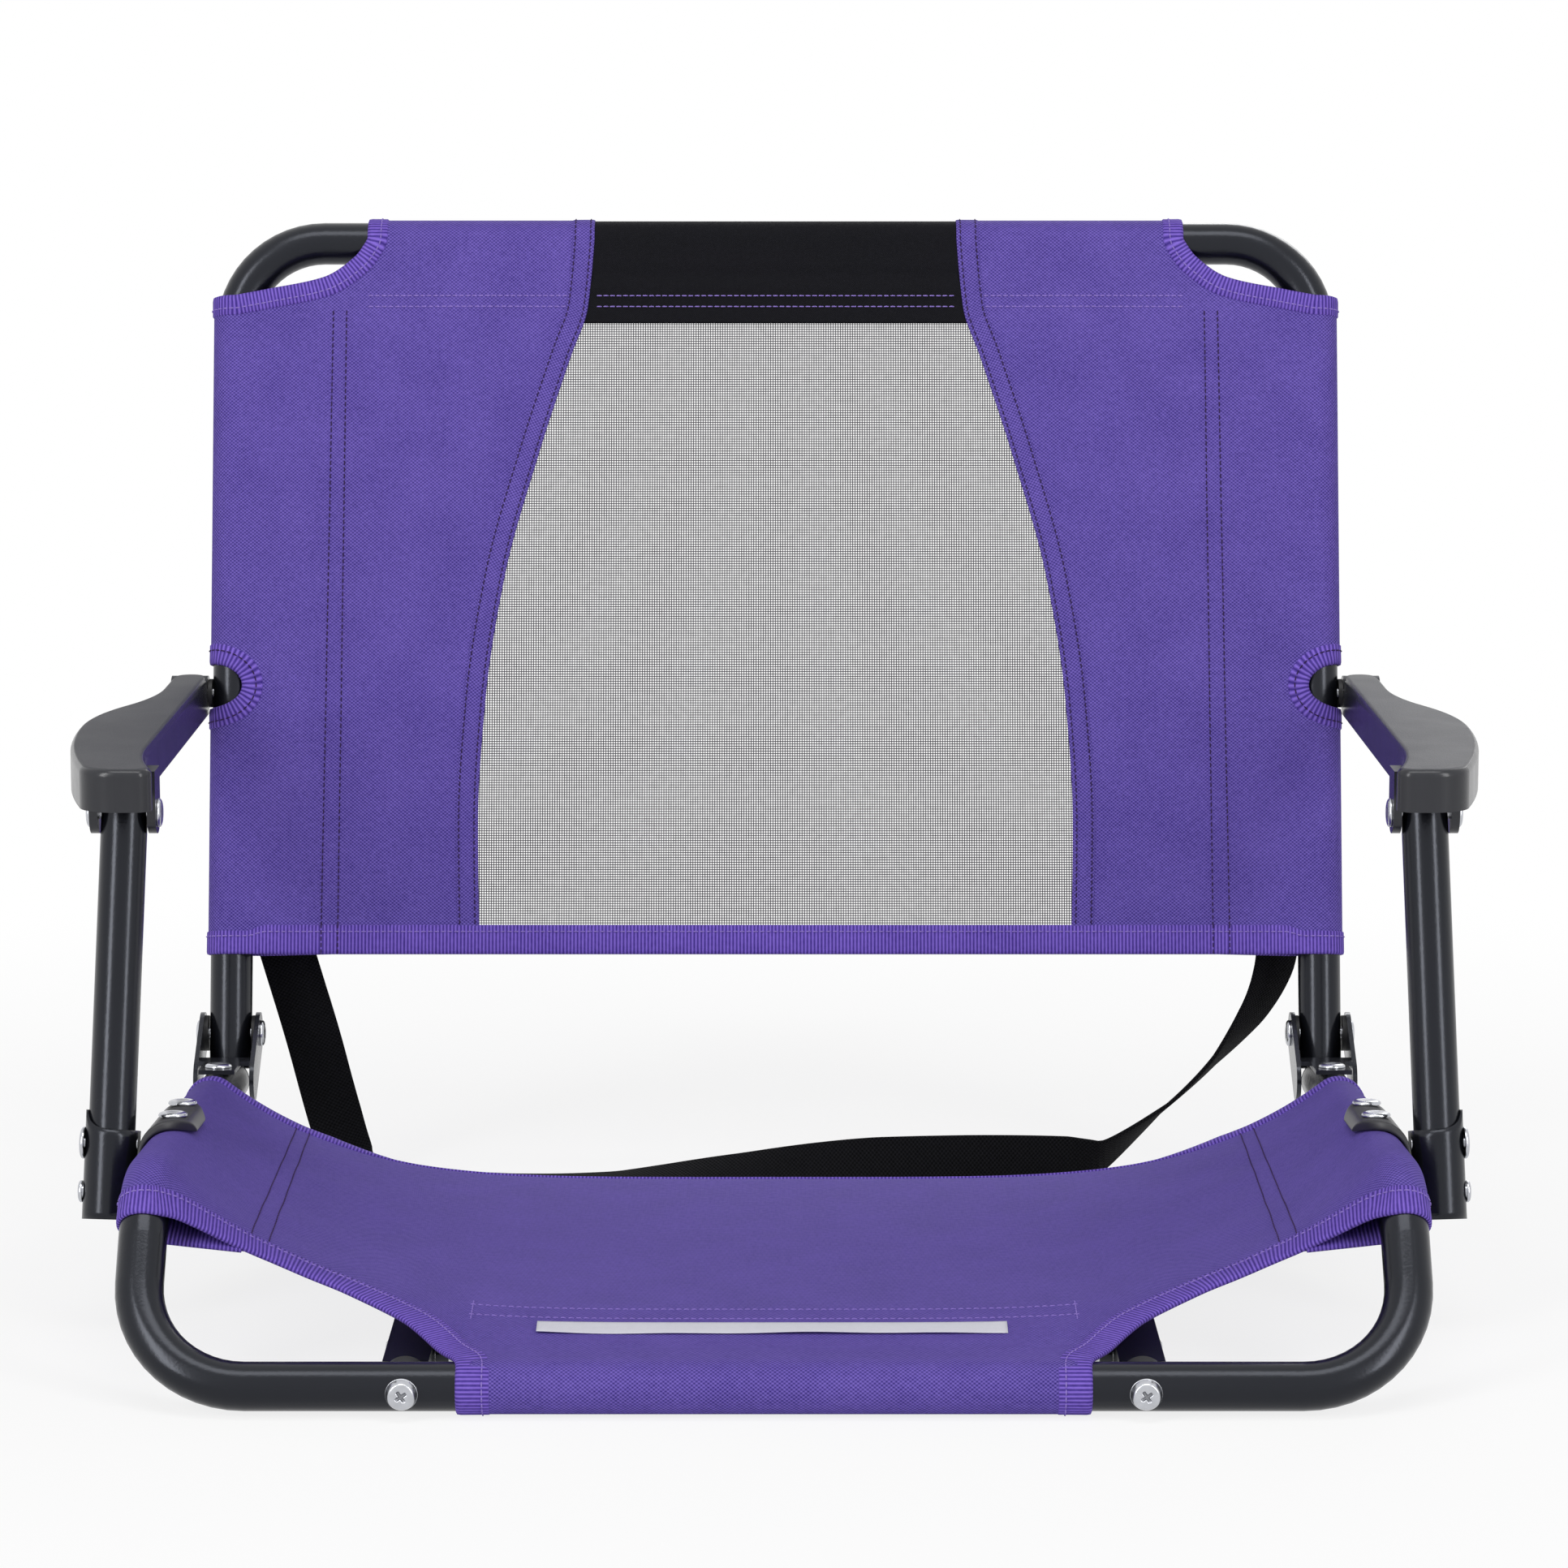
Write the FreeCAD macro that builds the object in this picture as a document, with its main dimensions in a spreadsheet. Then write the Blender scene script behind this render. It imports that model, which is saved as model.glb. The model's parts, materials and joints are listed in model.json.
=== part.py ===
"""Folding stadium seat: tube frame, sling seat, cloth and mesh back, armrests on folding posts.

Units are millimetres. X runs across the seat, the front faces -Y and Z is up.
The origin lies on the floor, under the middle of the seat's box.
"""
import FreeCAD, Part
import math
import os
from FreeCAD import Placement, Rotation, Vector

doc = FreeCAD.newDocument("stadium_seat")

# Driving dimensions
SIZES = {
    "tube_dia": 19.05,
    "tube_wall": 1.2,
    "back_wall": 1.0,
    "frame_half": 247.0,
    "front_rail_y": -225.0,
    "corner_radius": 43.0,
    "seat_height": 76.5,
    "drop_angle": 50.5,
    "drop_radius": 45.0,
    "rail_slope": 4.2,
    "cloth": 1.0,
    "cloth_gap": 0.15,
    "fit_gap": 0.05,
    "seat_gap": 0.1,
    "run_gap": 0.3,
    "hinge_depth": 366.5,
    "hinge_rise": 20.1,
    "hinge_pin_dia": 6.2,
    "hinge_plate": 2.0,
    "hinge_space": 2.0,
    "hinge_round": 9.5,
    "hinge_foot_back": 26.0,
    "hinge_foot_drop": 15.7,
    "tongue_front": 63.0,
    "tongue_half": 8.0,
    "tongue_rivet": 53.5,
    "web_end": 21.5,
    "upright_tail": 16.0,
    "stop_gap": 1.2,
    "plug_flange": 2.2,
    "plug_depth": 12.0,
    "back_lean": 13.7,
    "back_length": 362.6,
    "top_radius": 40.0,
    "arm_pivot": 155.0,
    "post_pivot_depth": 127.5,
    "post_pivot_drop": 13.9,
    "post_top": 7.0,
    "post_bottom": 9.3,
    "foot_wall": 1.2,
    "foot_height": 33.0,
    "foot_flange": 8.0,
    "foot_slant": 9.0,
    "foot_rivet_up": 19.5,
    "pivot_bolt_dia": 6.0,
    "saddle_wall": 1.6,
    "saddle_pad": 4.2,
    "saddle_inner": 10.0,
    "saddle_front": 13.5,
    "saddle_cheek": 46.0,
    "saddle_rear": 62.5,
    "saddle_under": 8.5,
    "saddle_bevel": 3.5,
    "saddle_rivet_front": 15.5,
    "saddle_rivet_pitch": 34.0,
    "leg_depth": 235.0,
    "leg_inset": 5.0,
    "leg_angle": 55.0,
    "leg_plate": 3.0,
    "leg_plate_half": 9.4,
    "leg_plate_tail": 22.0,
    "rivet_dia": 5.0,
    "rivet_head": 11.5,
    "rivet_rise": 1.4,
    "screw_dia": 6.0,
    "screw_head": 11.6,
    "screw_rise": 3.0,
    "stretcher_half": 142.8,
    "stretcher_width": 18.0,
    "stretcher_height": 14.0,
    "stretcher_wall": 1.6,
    "spacer_length": 4.0,
    "hook_depth": 52.0,
    "hook_reach": 62.0,
    "hook_lip": 15.0,
    "hook_bar": 9.0,
    "hook_thick": 5.0,
    "sleeve_front": 92.0,
    "sling_rear_gap": 78.5,
    "sling_low": 26.0,
    "sling_rear_low": 26.0,
    "sling_stitch_inset": 44.0,
    "flap_half": 124.0,
    "flap_stitch": 60.0,
    "panel_bottom": 36.0,
    "panel_seam_top": 80.0,
    "panel_seam_bottom": 135.0,
    "seam_bow": 0.3,
    "panel_stitch_inset": 46.0,
    "panel_top_inset": 61.0,
    "panel_corner_drop": 29.0,
    "top_stitch": 28.0,
    "seam_overlap": 10.0,
    "mesh": 0.8,
    "notch_radius": 14.0,
    "arm_rise": 24.4,
    "arm_nose": 43.0,
    "arm_tail": 8.0,
    "arm_depth": 17.5,
    "arm_bulge": 29.4,
    "arm_toe": 15.6,
    "arm_toe_length": 62.0,
    "arm_corner": 7.0,
    "arm_waist": 244.0,
    "arm_belly": 129.0,
    "arm_flank": 455.0,
    "arm_nose_round": 16.0,
    "arm_rear_half": 8.25,
    "arm_clear": 1.0,
    "post_clear": 1.0,
    "arm_wall": 2.6,
    "arm_roof": 3.5,
    "arm_edge": 3.0,
    "arm_ear": 3.5,
    "arm_ear_round": 8.5,
    "arm_pin_dia": 6.0,
    "bush_dia": 13.0,
    "strap_width": 25.0,
    "strap_thick": 1.8,
}

sheet = doc.addObject("Spreadsheet::Sheet", "sizes")
for row, (alias, value) in enumerate(SIZES.items(), start=1):
    sheet.set("A%d" % row, alias)
    sheet.set("B%d" % row, str(value))
    sheet.setAlias("B%d" % row, alias)
doc.recompute()


def size(alias):
    """The value of one driving dimension, as the sheet holds it."""
    return float(sheet.get(alias))


# Places that several pieces share
TUBE = size("tube_dia") / 2
SLEEVE_IN = TUBE + size("cloth_gap")
SLEEVE_OUT = SLEEVE_IN + size("cloth")
HALF = size("frame_half")
LEAN = math.radians(size("back_lean"))
SLOPE = math.radians(size("rail_slope"))
FRONT_Z = SLEEVE_OUT
BEND_DEPTH = (size("seat_height") - FRONT_Z) / math.tan(math.radians(size("drop_angle")))
FIT = size("fit_gap")
GAP = size("seat_gap")


def depth_y(depth):
    """Y of a point that lies this far behind the front rail's axis."""
    return size("front_rail_y") + depth


def rail_z(depth):
    """Height of the side rail's axis at a depth behind the front rail."""
    return size("seat_height") - (depth - BEND_DEPTH) * math.tan(SLOPE)


HINGE = Vector(0, depth_y(size("hinge_depth")), rail_z(size("hinge_depth")) + size("hinge_rise"))
BACK_TURN = Rotation(Vector(1, 0, 0), -size("back_lean"))
BACK_PLACE = Placement(HINGE, BACK_TURN)
ARM_PIVOT = BACK_PLACE.multVec(Vector(0, 0, size("arm_pivot")))
POST_PIVOT = Vector(0, depth_y(size("post_pivot_depth")),
                    rail_z(size("post_pivot_depth")) - size("post_pivot_drop"))
POST_TOP_PIVOT = POST_PIVOT + ARM_PIVOT - HINGE
POST_HALF = (HALF + SLEEVE_OUT + GAP + size("saddle_wall") + 2 * GAP
             + size("foot_wall") + GAP + TUBE + size("post_clear"))
ARM_HALF = HALF + SLEEVE_OUT + size("arm_clear") + size("arm_rear_half")
RAIL_TURN = Rotation(Vector(1, 0, 0), -size("rail_slope"))


def rail_place(side, depth):
    """Frame on the side rail's axis: Y runs back along the rail, Z stands square on it."""
    return Placement(Vector(side * HALF, depth_y(depth), rail_z(depth)), RAIL_TURN)


# Helpers
def feature(label, shape, place=None):
    """A plain solid under its own label."""
    item = doc.addObject("Part::Feature", label)
    item.Label = label
    item.Shape = shape
    if place is not None:
        item.Placement = place
    return item


def cylinder(label, radius, height, place):
    """A cylinder whose radius and height are expressions on the sheet."""
    item = doc.addObject("Part::Cylinder", label)
    item.setExpression("Radius", radius)
    item.setExpression("Height", height)
    item.Placement = place
    return item


def cut(label, base, tool):
    """The base less the tool."""
    item = doc.addObject("Part::Cut", label)
    item.Label = label
    item.Base = base
    item.Tool = tool
    return item


def fuse(label, pieces):
    """Several solids joined in one."""
    item = doc.addObject("Part::MultiFuse", label)
    item.Label = label
    item.Shapes = pieces
    return item


def group(label, pieces):
    """Identical solids that share one node."""
    item = doc.addObject("Part::Compound", label)
    item.Label = label
    item.Links = pieces
    return item


def along(axis, start):
    """Placement that stands a cylinder on start, pointing along axis."""
    return Placement(start, Rotation(Vector(0, 0, 1), axis))


def rod(axis, start, radius, length):
    """A plain cylinder shape for holes."""
    return Part.makeCylinder(radius, length, start, axis)


def bent_wire(points, radii):
    """Straight runs joined by tangent arcs at the inner points."""
    edges = []
    last = points[0]
    for here, after, radius in zip(points[1:-1], points[2:], radii):
        back = (last - here).normalize()
        ahead = (after - here).normalize()
        half_turn = back.getAngle(ahead) / 2
        reach = radius / math.tan(half_turn)
        start = here + back * reach
        end = here + ahead * reach
        middle = (back + ahead).normalize()
        crown = here + middle * (radius / math.sin(half_turn) - radius)
        edges.append(Part.LineSegment(last, start).toShape())
        edges.append(Part.Arc(start, crown, end).toShape())
        last = end
    edges.append(Part.LineSegment(last, points[-1]).toShape())
    return Part.Wire(edges)


def tube(label, wire, start_axis, place=None, wall="tube_wall"):
    """A steel tube swept along a wire, with its bore."""
    spine = feature(label + "_line", wire)
    start = wire.Edges[0].Vertexes[0].Point
    edge_names = ["Edge%d" % (index + 1) for index in range(len(wire.Edges))]
    swept = []
    for name, radius in (("skin", "sizes.tube_dia / 2"),
                         ("bore", "sizes.tube_dia / 2 - sizes." + wall)):
        ring = doc.addObject("Part::Circle", label + "_" + name + "_ring")
        ring.setExpression("Radius", radius)
        ring.Placement = along(start_axis, start)
        sweep = doc.addObject("Part::Sweep", label + "_" + name)
        sweep.Sections = [ring]
        sweep.Spine = (spine, edge_names)
        sweep.Solid = True
        sweep.Frenet = False
        swept.append(sweep)
    hollow = cut(label + "_hollow", swept[0], swept[1])
    if place is not None:
        hollow.Placement = place
    return hollow


def drilled(label, base, holes):
    """The base with its holes, given as shapes."""
    tool = feature(label + "_holes", Part.makeCompound(holes))
    return cut(label, base, tool)


def rivet(label, axis, start, grip, head_dia="sizes.rivet_head", dia="sizes.rivet_dia",
          rise="sizes.rivet_rise", tail=True, tail_share=1.0):
    """A rivet: shank through the grip, a tapered head before it and one after it."""
    shank = cylinder(label + "_shank", dia + " / 2", "%.6f" % grip, along(axis, start))
    pieces = [shank]
    ends = [(start, axis * -1)]
    if tail:
        ends.append((start + axis * grip, axis))
    for index, (point, direction) in enumerate(ends):
        head = doc.addObject("Part::Cone", "%s_head%d" % (label, index))
        share = tail_share if index else 1.0
        head.setExpression("Radius1", "%s / 2 * %.3f" % (head_dia, share))
        head.setExpression("Radius2", "%s / 3 * %.3f" % (head_dia, share))
        head.setExpression("Height", rise)
        head.Placement = along(direction, point)
        pieces.append(head)
    return fuse(label, pieces)


def outline_wire(start, steps):
    """A closed outline of lines (x, y) and arcs ((mid), (end)), in the XY plane."""
    edges = []
    last = Vector(start[0], start[1], 0)
    for step in steps:
        if isinstance(step[0], tuple):
            middle = Vector(step[0][0], step[0][1], 0)
            end = Vector(step[1][0], step[1][1], 0)
            edges.append(Part.Arc(last, middle, end))
        else:
            end = Vector(step[0], step[1], 0)
            edges.append(Part.LineSegment(last, end))
        last = end
    return edges


def plane_of(body, role):
    """One of a body's own origin planes."""
    return [item for item in body.Origin.OriginFeatures if item.Role == role][0]


def padded_body(label, geometry, length, place, midplane=False):
    """A body with one sketched outline and its pad."""
    body = doc.addObject("PartDesign::Body", label)
    body.Label = label
    sketch = body.newObject("Sketcher::SketchObject", label + "_outline")
    sketch.AttachmentSupport = (plane_of(body, "XY_Plane"), [""])
    sketch.MapMode = "FlatFace"
    sketch.addGeometry(geometry, False)
    pad = body.newObject("PartDesign::Pad", label + "_pad")
    pad.Profile = sketch
    pad.setExpression("Length", length)
    pad.Midplane = midplane
    body.Placement = place
    return body


def side_plane(side, offset, depth_origin=0.0):
    """Placement that maps sketch X to Y and sketch Y to Z, at one X."""
    turn = Rotation(Vector(0, 1, 0), Vector(0, 0, 1), Vector(1, 0, 0), "ZXY")
    return Placement(Vector(side * offset, depth_origin, 0), turn)


X_AXIS = Vector(1, 0, 0)
Y_AXIS = Vector(0, 1, 0)
SIDES = {"left": -1, "right": 1}
nodes = []


def keep(item):
    """Adds a finished piece to the list that is written out."""
    nodes.append(item)
    return item


# Seat frame tube: side rails, drop legs and front rail
UPRIGHT_FOOT = size("upright_tail") * math.sin(LEAN) + TUBE * math.cos(LEAN)
RAIL_END = size("hinge_depth") - UPRIGHT_FOOT - size("stop_gap") - size("plug_flange")
SADDLE_DEPTH = size("post_pivot_depth")
RIVET_DEPTHS = [SADDLE_DEPTH + size("saddle_rivet_front"),
                SADDLE_DEPTH + size("saddle_rivet_front") + size("saddle_rivet_pitch")]
TONGUE_RIVET = size("hinge_depth") - size("tongue_rivet")
RIVET_HOLE = size("rivet_dia") / 2 + FIT
SCREW_HOLE = size("screw_dia") / 2 + FIT
SCREW_Z = (FRONT_Z + TUBE) / 2


def frame_points(side):
    """Rail end, drop bend and front corner on one side."""
    return [Vector(side * HALF, depth_y(RAIL_END), rail_z(RAIL_END)),
            Vector(side * HALF, depth_y(BEND_DEPTH), size("seat_height")),
            Vector(side * HALF, depth_y(0), FRONT_Z)]


frame_line = frame_points(-1) + frame_points(1)[::-1]
bends = [size("drop_radius"), size("corner_radius")]
frame_wire = bent_wire(frame_line, bends + bends[::-1])
rail_axis = (frame_line[1] - frame_line[0]).normalize()
frame_hollow = tube("seat_frame", frame_wire, rail_axis)


def rail_normal_holes(depths, radius):
    """Holes square through both walls of each rail."""
    holes = []
    for side in SIDES.values():
        for depth in depths:
            place = rail_place(side, depth)
            start = place.multVec(Vector(0, 0, -2 * TUBE))
            holes.append(rod(place.Rotation.multVec(Vector(0, 0, 1)), start, radius, 4 * TUBE))
    return holes


frame_holes = rail_normal_holes(RIVET_DEPTHS + [TONGUE_RIVET], RIVET_HOLE)
for side in SIDES.values():
    start = Vector(side * size("stretcher_half"), depth_y(-2 * TUBE), SCREW_Z)
    frame_holes.append(rod(Y_AXIS, start, SCREW_HOLE, 4 * TUBE))
keep(drilled("seat_frame_tube", frame_hollow, frame_holes))

# Plugs in the rails' open rear ends
plugs = []
for name, side in SIDES.items():
    place = rail_place(side, RAIL_END)
    rail_back = place.Rotation.multVec(Y_AXIS)
    flange = cylinder("rail_plug_cap_" + name, "sizes.tube_dia / 2", "sizes.plug_flange",
                      along(rail_back, place.Base))
    stem = cylinder("rail_plug_stem_" + name, "sizes.tube_dia / 2 - sizes.tube_wall - sizes.fit_gap",
                    "sizes.plug_depth", along(rail_back * -1, place.Base))
    plugs.append(fuse("rail_plug_" + name, [flange, stem]))
keep(group("rail_plugs", plugs))

# Rear leg: U tube that leans forward up to plates under the rails
LEG_TURN = math.radians(size("leg_angle"))
LEG_UP = Vector(0, -math.cos(LEG_TURN), math.sin(LEG_TURN))
LEG_LOW = Vector(0, depth_y(size("leg_depth")), TUBE)
PLATE_LOW = SLEEVE_OUT + GAP + size("leg_plate")
leg_reach = size("seat_height") / math.sin(LEG_TURN)
leg_corners = [LEG_LOW + X_AXIS * (side * (HALF - size("leg_inset"))) for side in (-1, 1)]
leg_line = [leg_corners[0] + LEG_UP * leg_reach, leg_corners[0],
            leg_corners[1], leg_corners[1] + LEG_UP * leg_reach]
leg_hollow = tube("rear_leg", bent_wire(leg_line, [size("corner_radius")] * 2), LEG_UP * -1)
leg_cuts = []
for side in SIDES.values():
    block = Part.makeBox(8 * TUBE, 16 * TUBE, 8 * TUBE, Vector(-4 * TUBE, -8 * TUBE, -PLATE_LOW))
    block.Placement = rail_place(side, size("leg_depth")).multiply(block.Placement)
    leg_cuts.append(block)
    start = Vector(side * size("stretcher_half"), depth_y(size("leg_depth")) - 2 * TUBE, SCREW_Z)
    leg_cuts.append(rod(Y_AXIS, start, SCREW_HOLE, 4 * TUBE))
keep(drilled("rear_leg_tube", leg_hollow, leg_cuts))

# Seat sling: cloth from rail to rail, with a sleeve round each rail
T = size("cloth")
SLING_REAR = size("hinge_depth") - size("sling_rear_gap")
SLING_STITCH = HALF - size("sling_stitch_inset")


def sling_low(depth):
    """Height of the cloth's upper face in the middle, at one depth."""
    share = (depth - size("sleeve_front")) / (SLING_REAR - size("sleeve_front"))
    return size("sling_low") + share * (size("sling_rear_low") - size("sling_low"))


def sag_circle(depth):
    """Radius of the hanging arc that runs smoothly into the sleeves' circles."""
    drop = sling_low(depth) - rail_z(depth)
    return (HALF ** 2 + drop ** 2 - SLEEVE_OUT ** 2) / (2 * (SLEEVE_OUT - drop))


def sag_height(depth, x, below):
    """Height of the hanging arc, this far below the cloth's upper face."""
    radius = sag_circle(depth)
    return sling_low(depth) + radius - math.sqrt((radius + below) ** 2 - x ** 2)


def sleeve_points(depth, radius, below):
    """Tangent points of one sleeve circle: with the hanging arc, and with the lower layer."""
    centre = Vector(HALF, 0, rail_z(depth))
    hang = Vector(0, 0, sling_low(depth) + sag_circle(depth))
    upper = centre + (hang - centre).normalize() * radius
    stitch = Vector(SLING_STITCH, 0, sag_height(depth, SLING_STITCH, T))
    gap = stitch - centre
    swing = math.acos(radius / gap.Length)
    facing = math.atan2(gap.z, gap.x)
    angle = facing + swing
    lower = centre + Vector(math.cos(angle), 0, math.sin(angle)) * radius
    return centre, upper, lower, stitch


def arc_edge(start, middle, end):
    return Part.Arc(start, middle, end).toShape()


def line_edge(start, end):
    return Part.LineSegment(start, end).toShape()


def circle_point(centre, radius, angle):
    """A point of a circle in the cross-section."""
    return centre + Vector(math.cos(angle), 0, math.sin(angle)) * radius


def sleeve_arcs(centre, radius, upper, lower):
    """The way round the rail from the upper to the lower tangent point, as two arcs."""
    start = math.atan2(upper.z - centre.z, upper.x - centre.x)
    end = math.atan2(lower.z - centre.z, lower.x - centre.x)
    while end > start:
        end -= 2 * math.pi
    angles = [start + (end - start) * share for share in (0, 0.25, 0.5, 0.75, 1)]
    points = [circle_point(centre, radius, angle) for angle in angles]
    return [arc_edge(*points[0:3]), arc_edge(*points[2:5])]


def mirrored(point):
    return Vector(-point.x, point.y, point.z)


def flipped(edges):
    """The same edges on the other side, in the reverse order."""
    other = []
    for edge in reversed(edges):
        ends = [vertex.Point for vertex in edge.Vertexes]
        if isinstance(edge.Curve, Part.Line):
            other.append(line_edge(mirrored(ends[1]), mirrored(ends[0])))
        else:
            middle = edge.valueAt((edge.FirstParameter + edge.LastParameter) / 2)
            other.append(arc_edge(mirrored(ends[1]), mirrored(middle), mirrored(ends[0])))
    return other


def at_depth(edges, depth):
    wire = Part.Wire(Part.__sortEdges__(edges))
    wire.translate(Vector(0, depth_y(depth), 0))
    return wire


def sling_section(depth):
    """Outer outline of the sling's cross-section."""
    centre, upper, lower, stitch = sleeve_points(depth, SLEEVE_OUT, T)
    join = Vector(stitch.x - 1.5 * T, 0, sag_height(depth, stitch.x - 1.5 * T, T))
    right = sleeve_arcs(centre, SLEEVE_OUT, upper, lower) + [line_edge(lower, join)]
    top = arc_edge(mirrored(upper), Vector(0, 0, sling_low(depth)), upper)
    low = arc_edge(join, Vector(0, 0, sag_height(depth, 0, T)), mirrored(join))
    return at_depth([top] + right + [low] + flipped(right), depth)


def pocket_section(depth, side):
    """Outline of the space inside one sleeve."""
    centre, upper, lower, stitch = sleeve_points(depth, SLEEVE_IN, T)
    middle_x = (stitch.x + upper.x) / 2
    roof = arc_edge(stitch, Vector(middle_x, 0, sag_height(depth, middle_x, T)), upper)
    edges = [roof] + sleeve_arcs(centre, SLEEVE_IN, upper, lower) + [line_edge(lower, stitch)]
    if side < 0:
        edges = flipped(edges)
    return at_depth(edges, depth)


SECTION_DEPTHS = [size("sleeve_front"), size("leg_depth"), SLING_REAR]
sling = Part.makeLoft([sling_section(depth) for depth in SECTION_DEPTHS], True, True)
for side in SIDES.values():
    sling = sling.cut(Part.makeLoft([pocket_section(depth, side) for depth in SECTION_DEPTHS], True, True))
sling_blank = feature("sling_blank", sling)
keep(drilled("seat_sling", sling_blank, rail_normal_holes(RIVET_DEPTHS, RIVET_HOLE)))

# Leg plates under the rails, and plastic saddles over cloth and rail
SADDLE_TOP = SLEEVE_OUT + GAP + size("saddle_pad")
for name, side in SIDES.items():
    place = rail_place(side, SADDLE_DEPTH)
    low = -side * size("leg_inset")
    plate = doc.addObject("Part::Box", "leg_plate_blank_" + name)
    plate.setExpression("Length", "2 * sizes.leg_plate_half")
    plate.setExpression("Width", "sizes.saddle_rear + sizes.leg_plate_tail")
    plate.setExpression("Height", "sizes.leg_plate")
    plate.Placement = place.multiply(Placement(Vector(low - size("leg_plate_half"), 1, -PLATE_LOW),
                                               Rotation()))
    keep(drilled("leg_plate_" + name, plate, rail_normal_holes(RIVET_DEPTHS, RIVET_HOLE)))

    outer = HALF + SLEEVE_OUT + GAP + size("saddle_wall")
    wall = outer - HALF
    inner = size("saddle_inner")
    bevel = size("saddle_bevel")
    rim = SADDLE_TOP - size("saddle_pad") * 2
    pad_outline = [(-inner, rim), (-inner, SADDLE_TOP - bevel), (-inner + bevel, SADDLE_TOP),
                   (wall - 2 * bevel, SADDLE_TOP), (wall, SADDLE_TOP - 2 * bevel), (wall, rim)]
    pivot_low = -size("post_pivot_drop") - size("saddle_under")
    cheek_outline = [(TUBE / 2, rim), (wall, rim), (wall, pivot_low), (TUBE / 2, pivot_low)]

    def block(points, start, end):
        """A prism along the rail from an outline in its cross-section."""
        corners = [Vector(side * x, start, z) for x, z in points]
        return Part.Face(Part.makePolygon(corners + corners[:1])).extrude(Vector(0, end - start, 0))

    pad_front = -size("saddle_front") + 2 * size("arm_edge") + size("rivet_head") / 2
    shape = block(pad_outline, pad_front, size("saddle_rear"))
    shape = shape.fuse(block(cheek_outline, -size("saddle_front"), size("saddle_cheek")))
    channel = rod(Y_AXIS, Vector(0, -8 * TUBE, 0), SLEEVE_OUT + GAP, 16 * TUBE)
    cloth = sling.copy()
    cloth.Placement = place.inverse().multiply(cloth.Placement)
    raised = cloth.copy()
    raised.translate(Vector(0, 0, 2 * GAP))
    pieces = shape.cut(channel).cut(cloth).cut(raised).removeSplitter().Solids
    shape = max(pieces, key=lambda piece: piece.Volume)
    saddle = feature("saddle_blank_" + name, shape, place)
    bolt_start = Vector(side * (HALF + TUBE / 2), POST_PIVOT.y, POST_PIVOT.z)
    bolt_hole = rod(X_AXIS * side, bolt_start, size("pivot_bolt_dia") / 2 + FIT, 2 * TUBE)
    keep(drilled("saddle_" + name, saddle, rail_normal_holes(RIVET_DEPTHS, RIVET_HOLE) + [bolt_hole]))

saddle_rivets = []
for name, side in SIDES.items():
    for index, depth in enumerate(RIVET_DEPTHS):
        place = rail_place(side, depth)
        start = place.multVec(Vector(0, 0, SADDLE_TOP))
        down = place.Rotation.multVec(Vector(0, 0, -1))
        saddle_rivets.append(rivet("saddle_rivet_%s%d" % (name, index), down, start,
                                   SADDLE_TOP + PLATE_LOW, tail=False))
keep(group("saddle_rivets", saddle_rivets))

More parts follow.
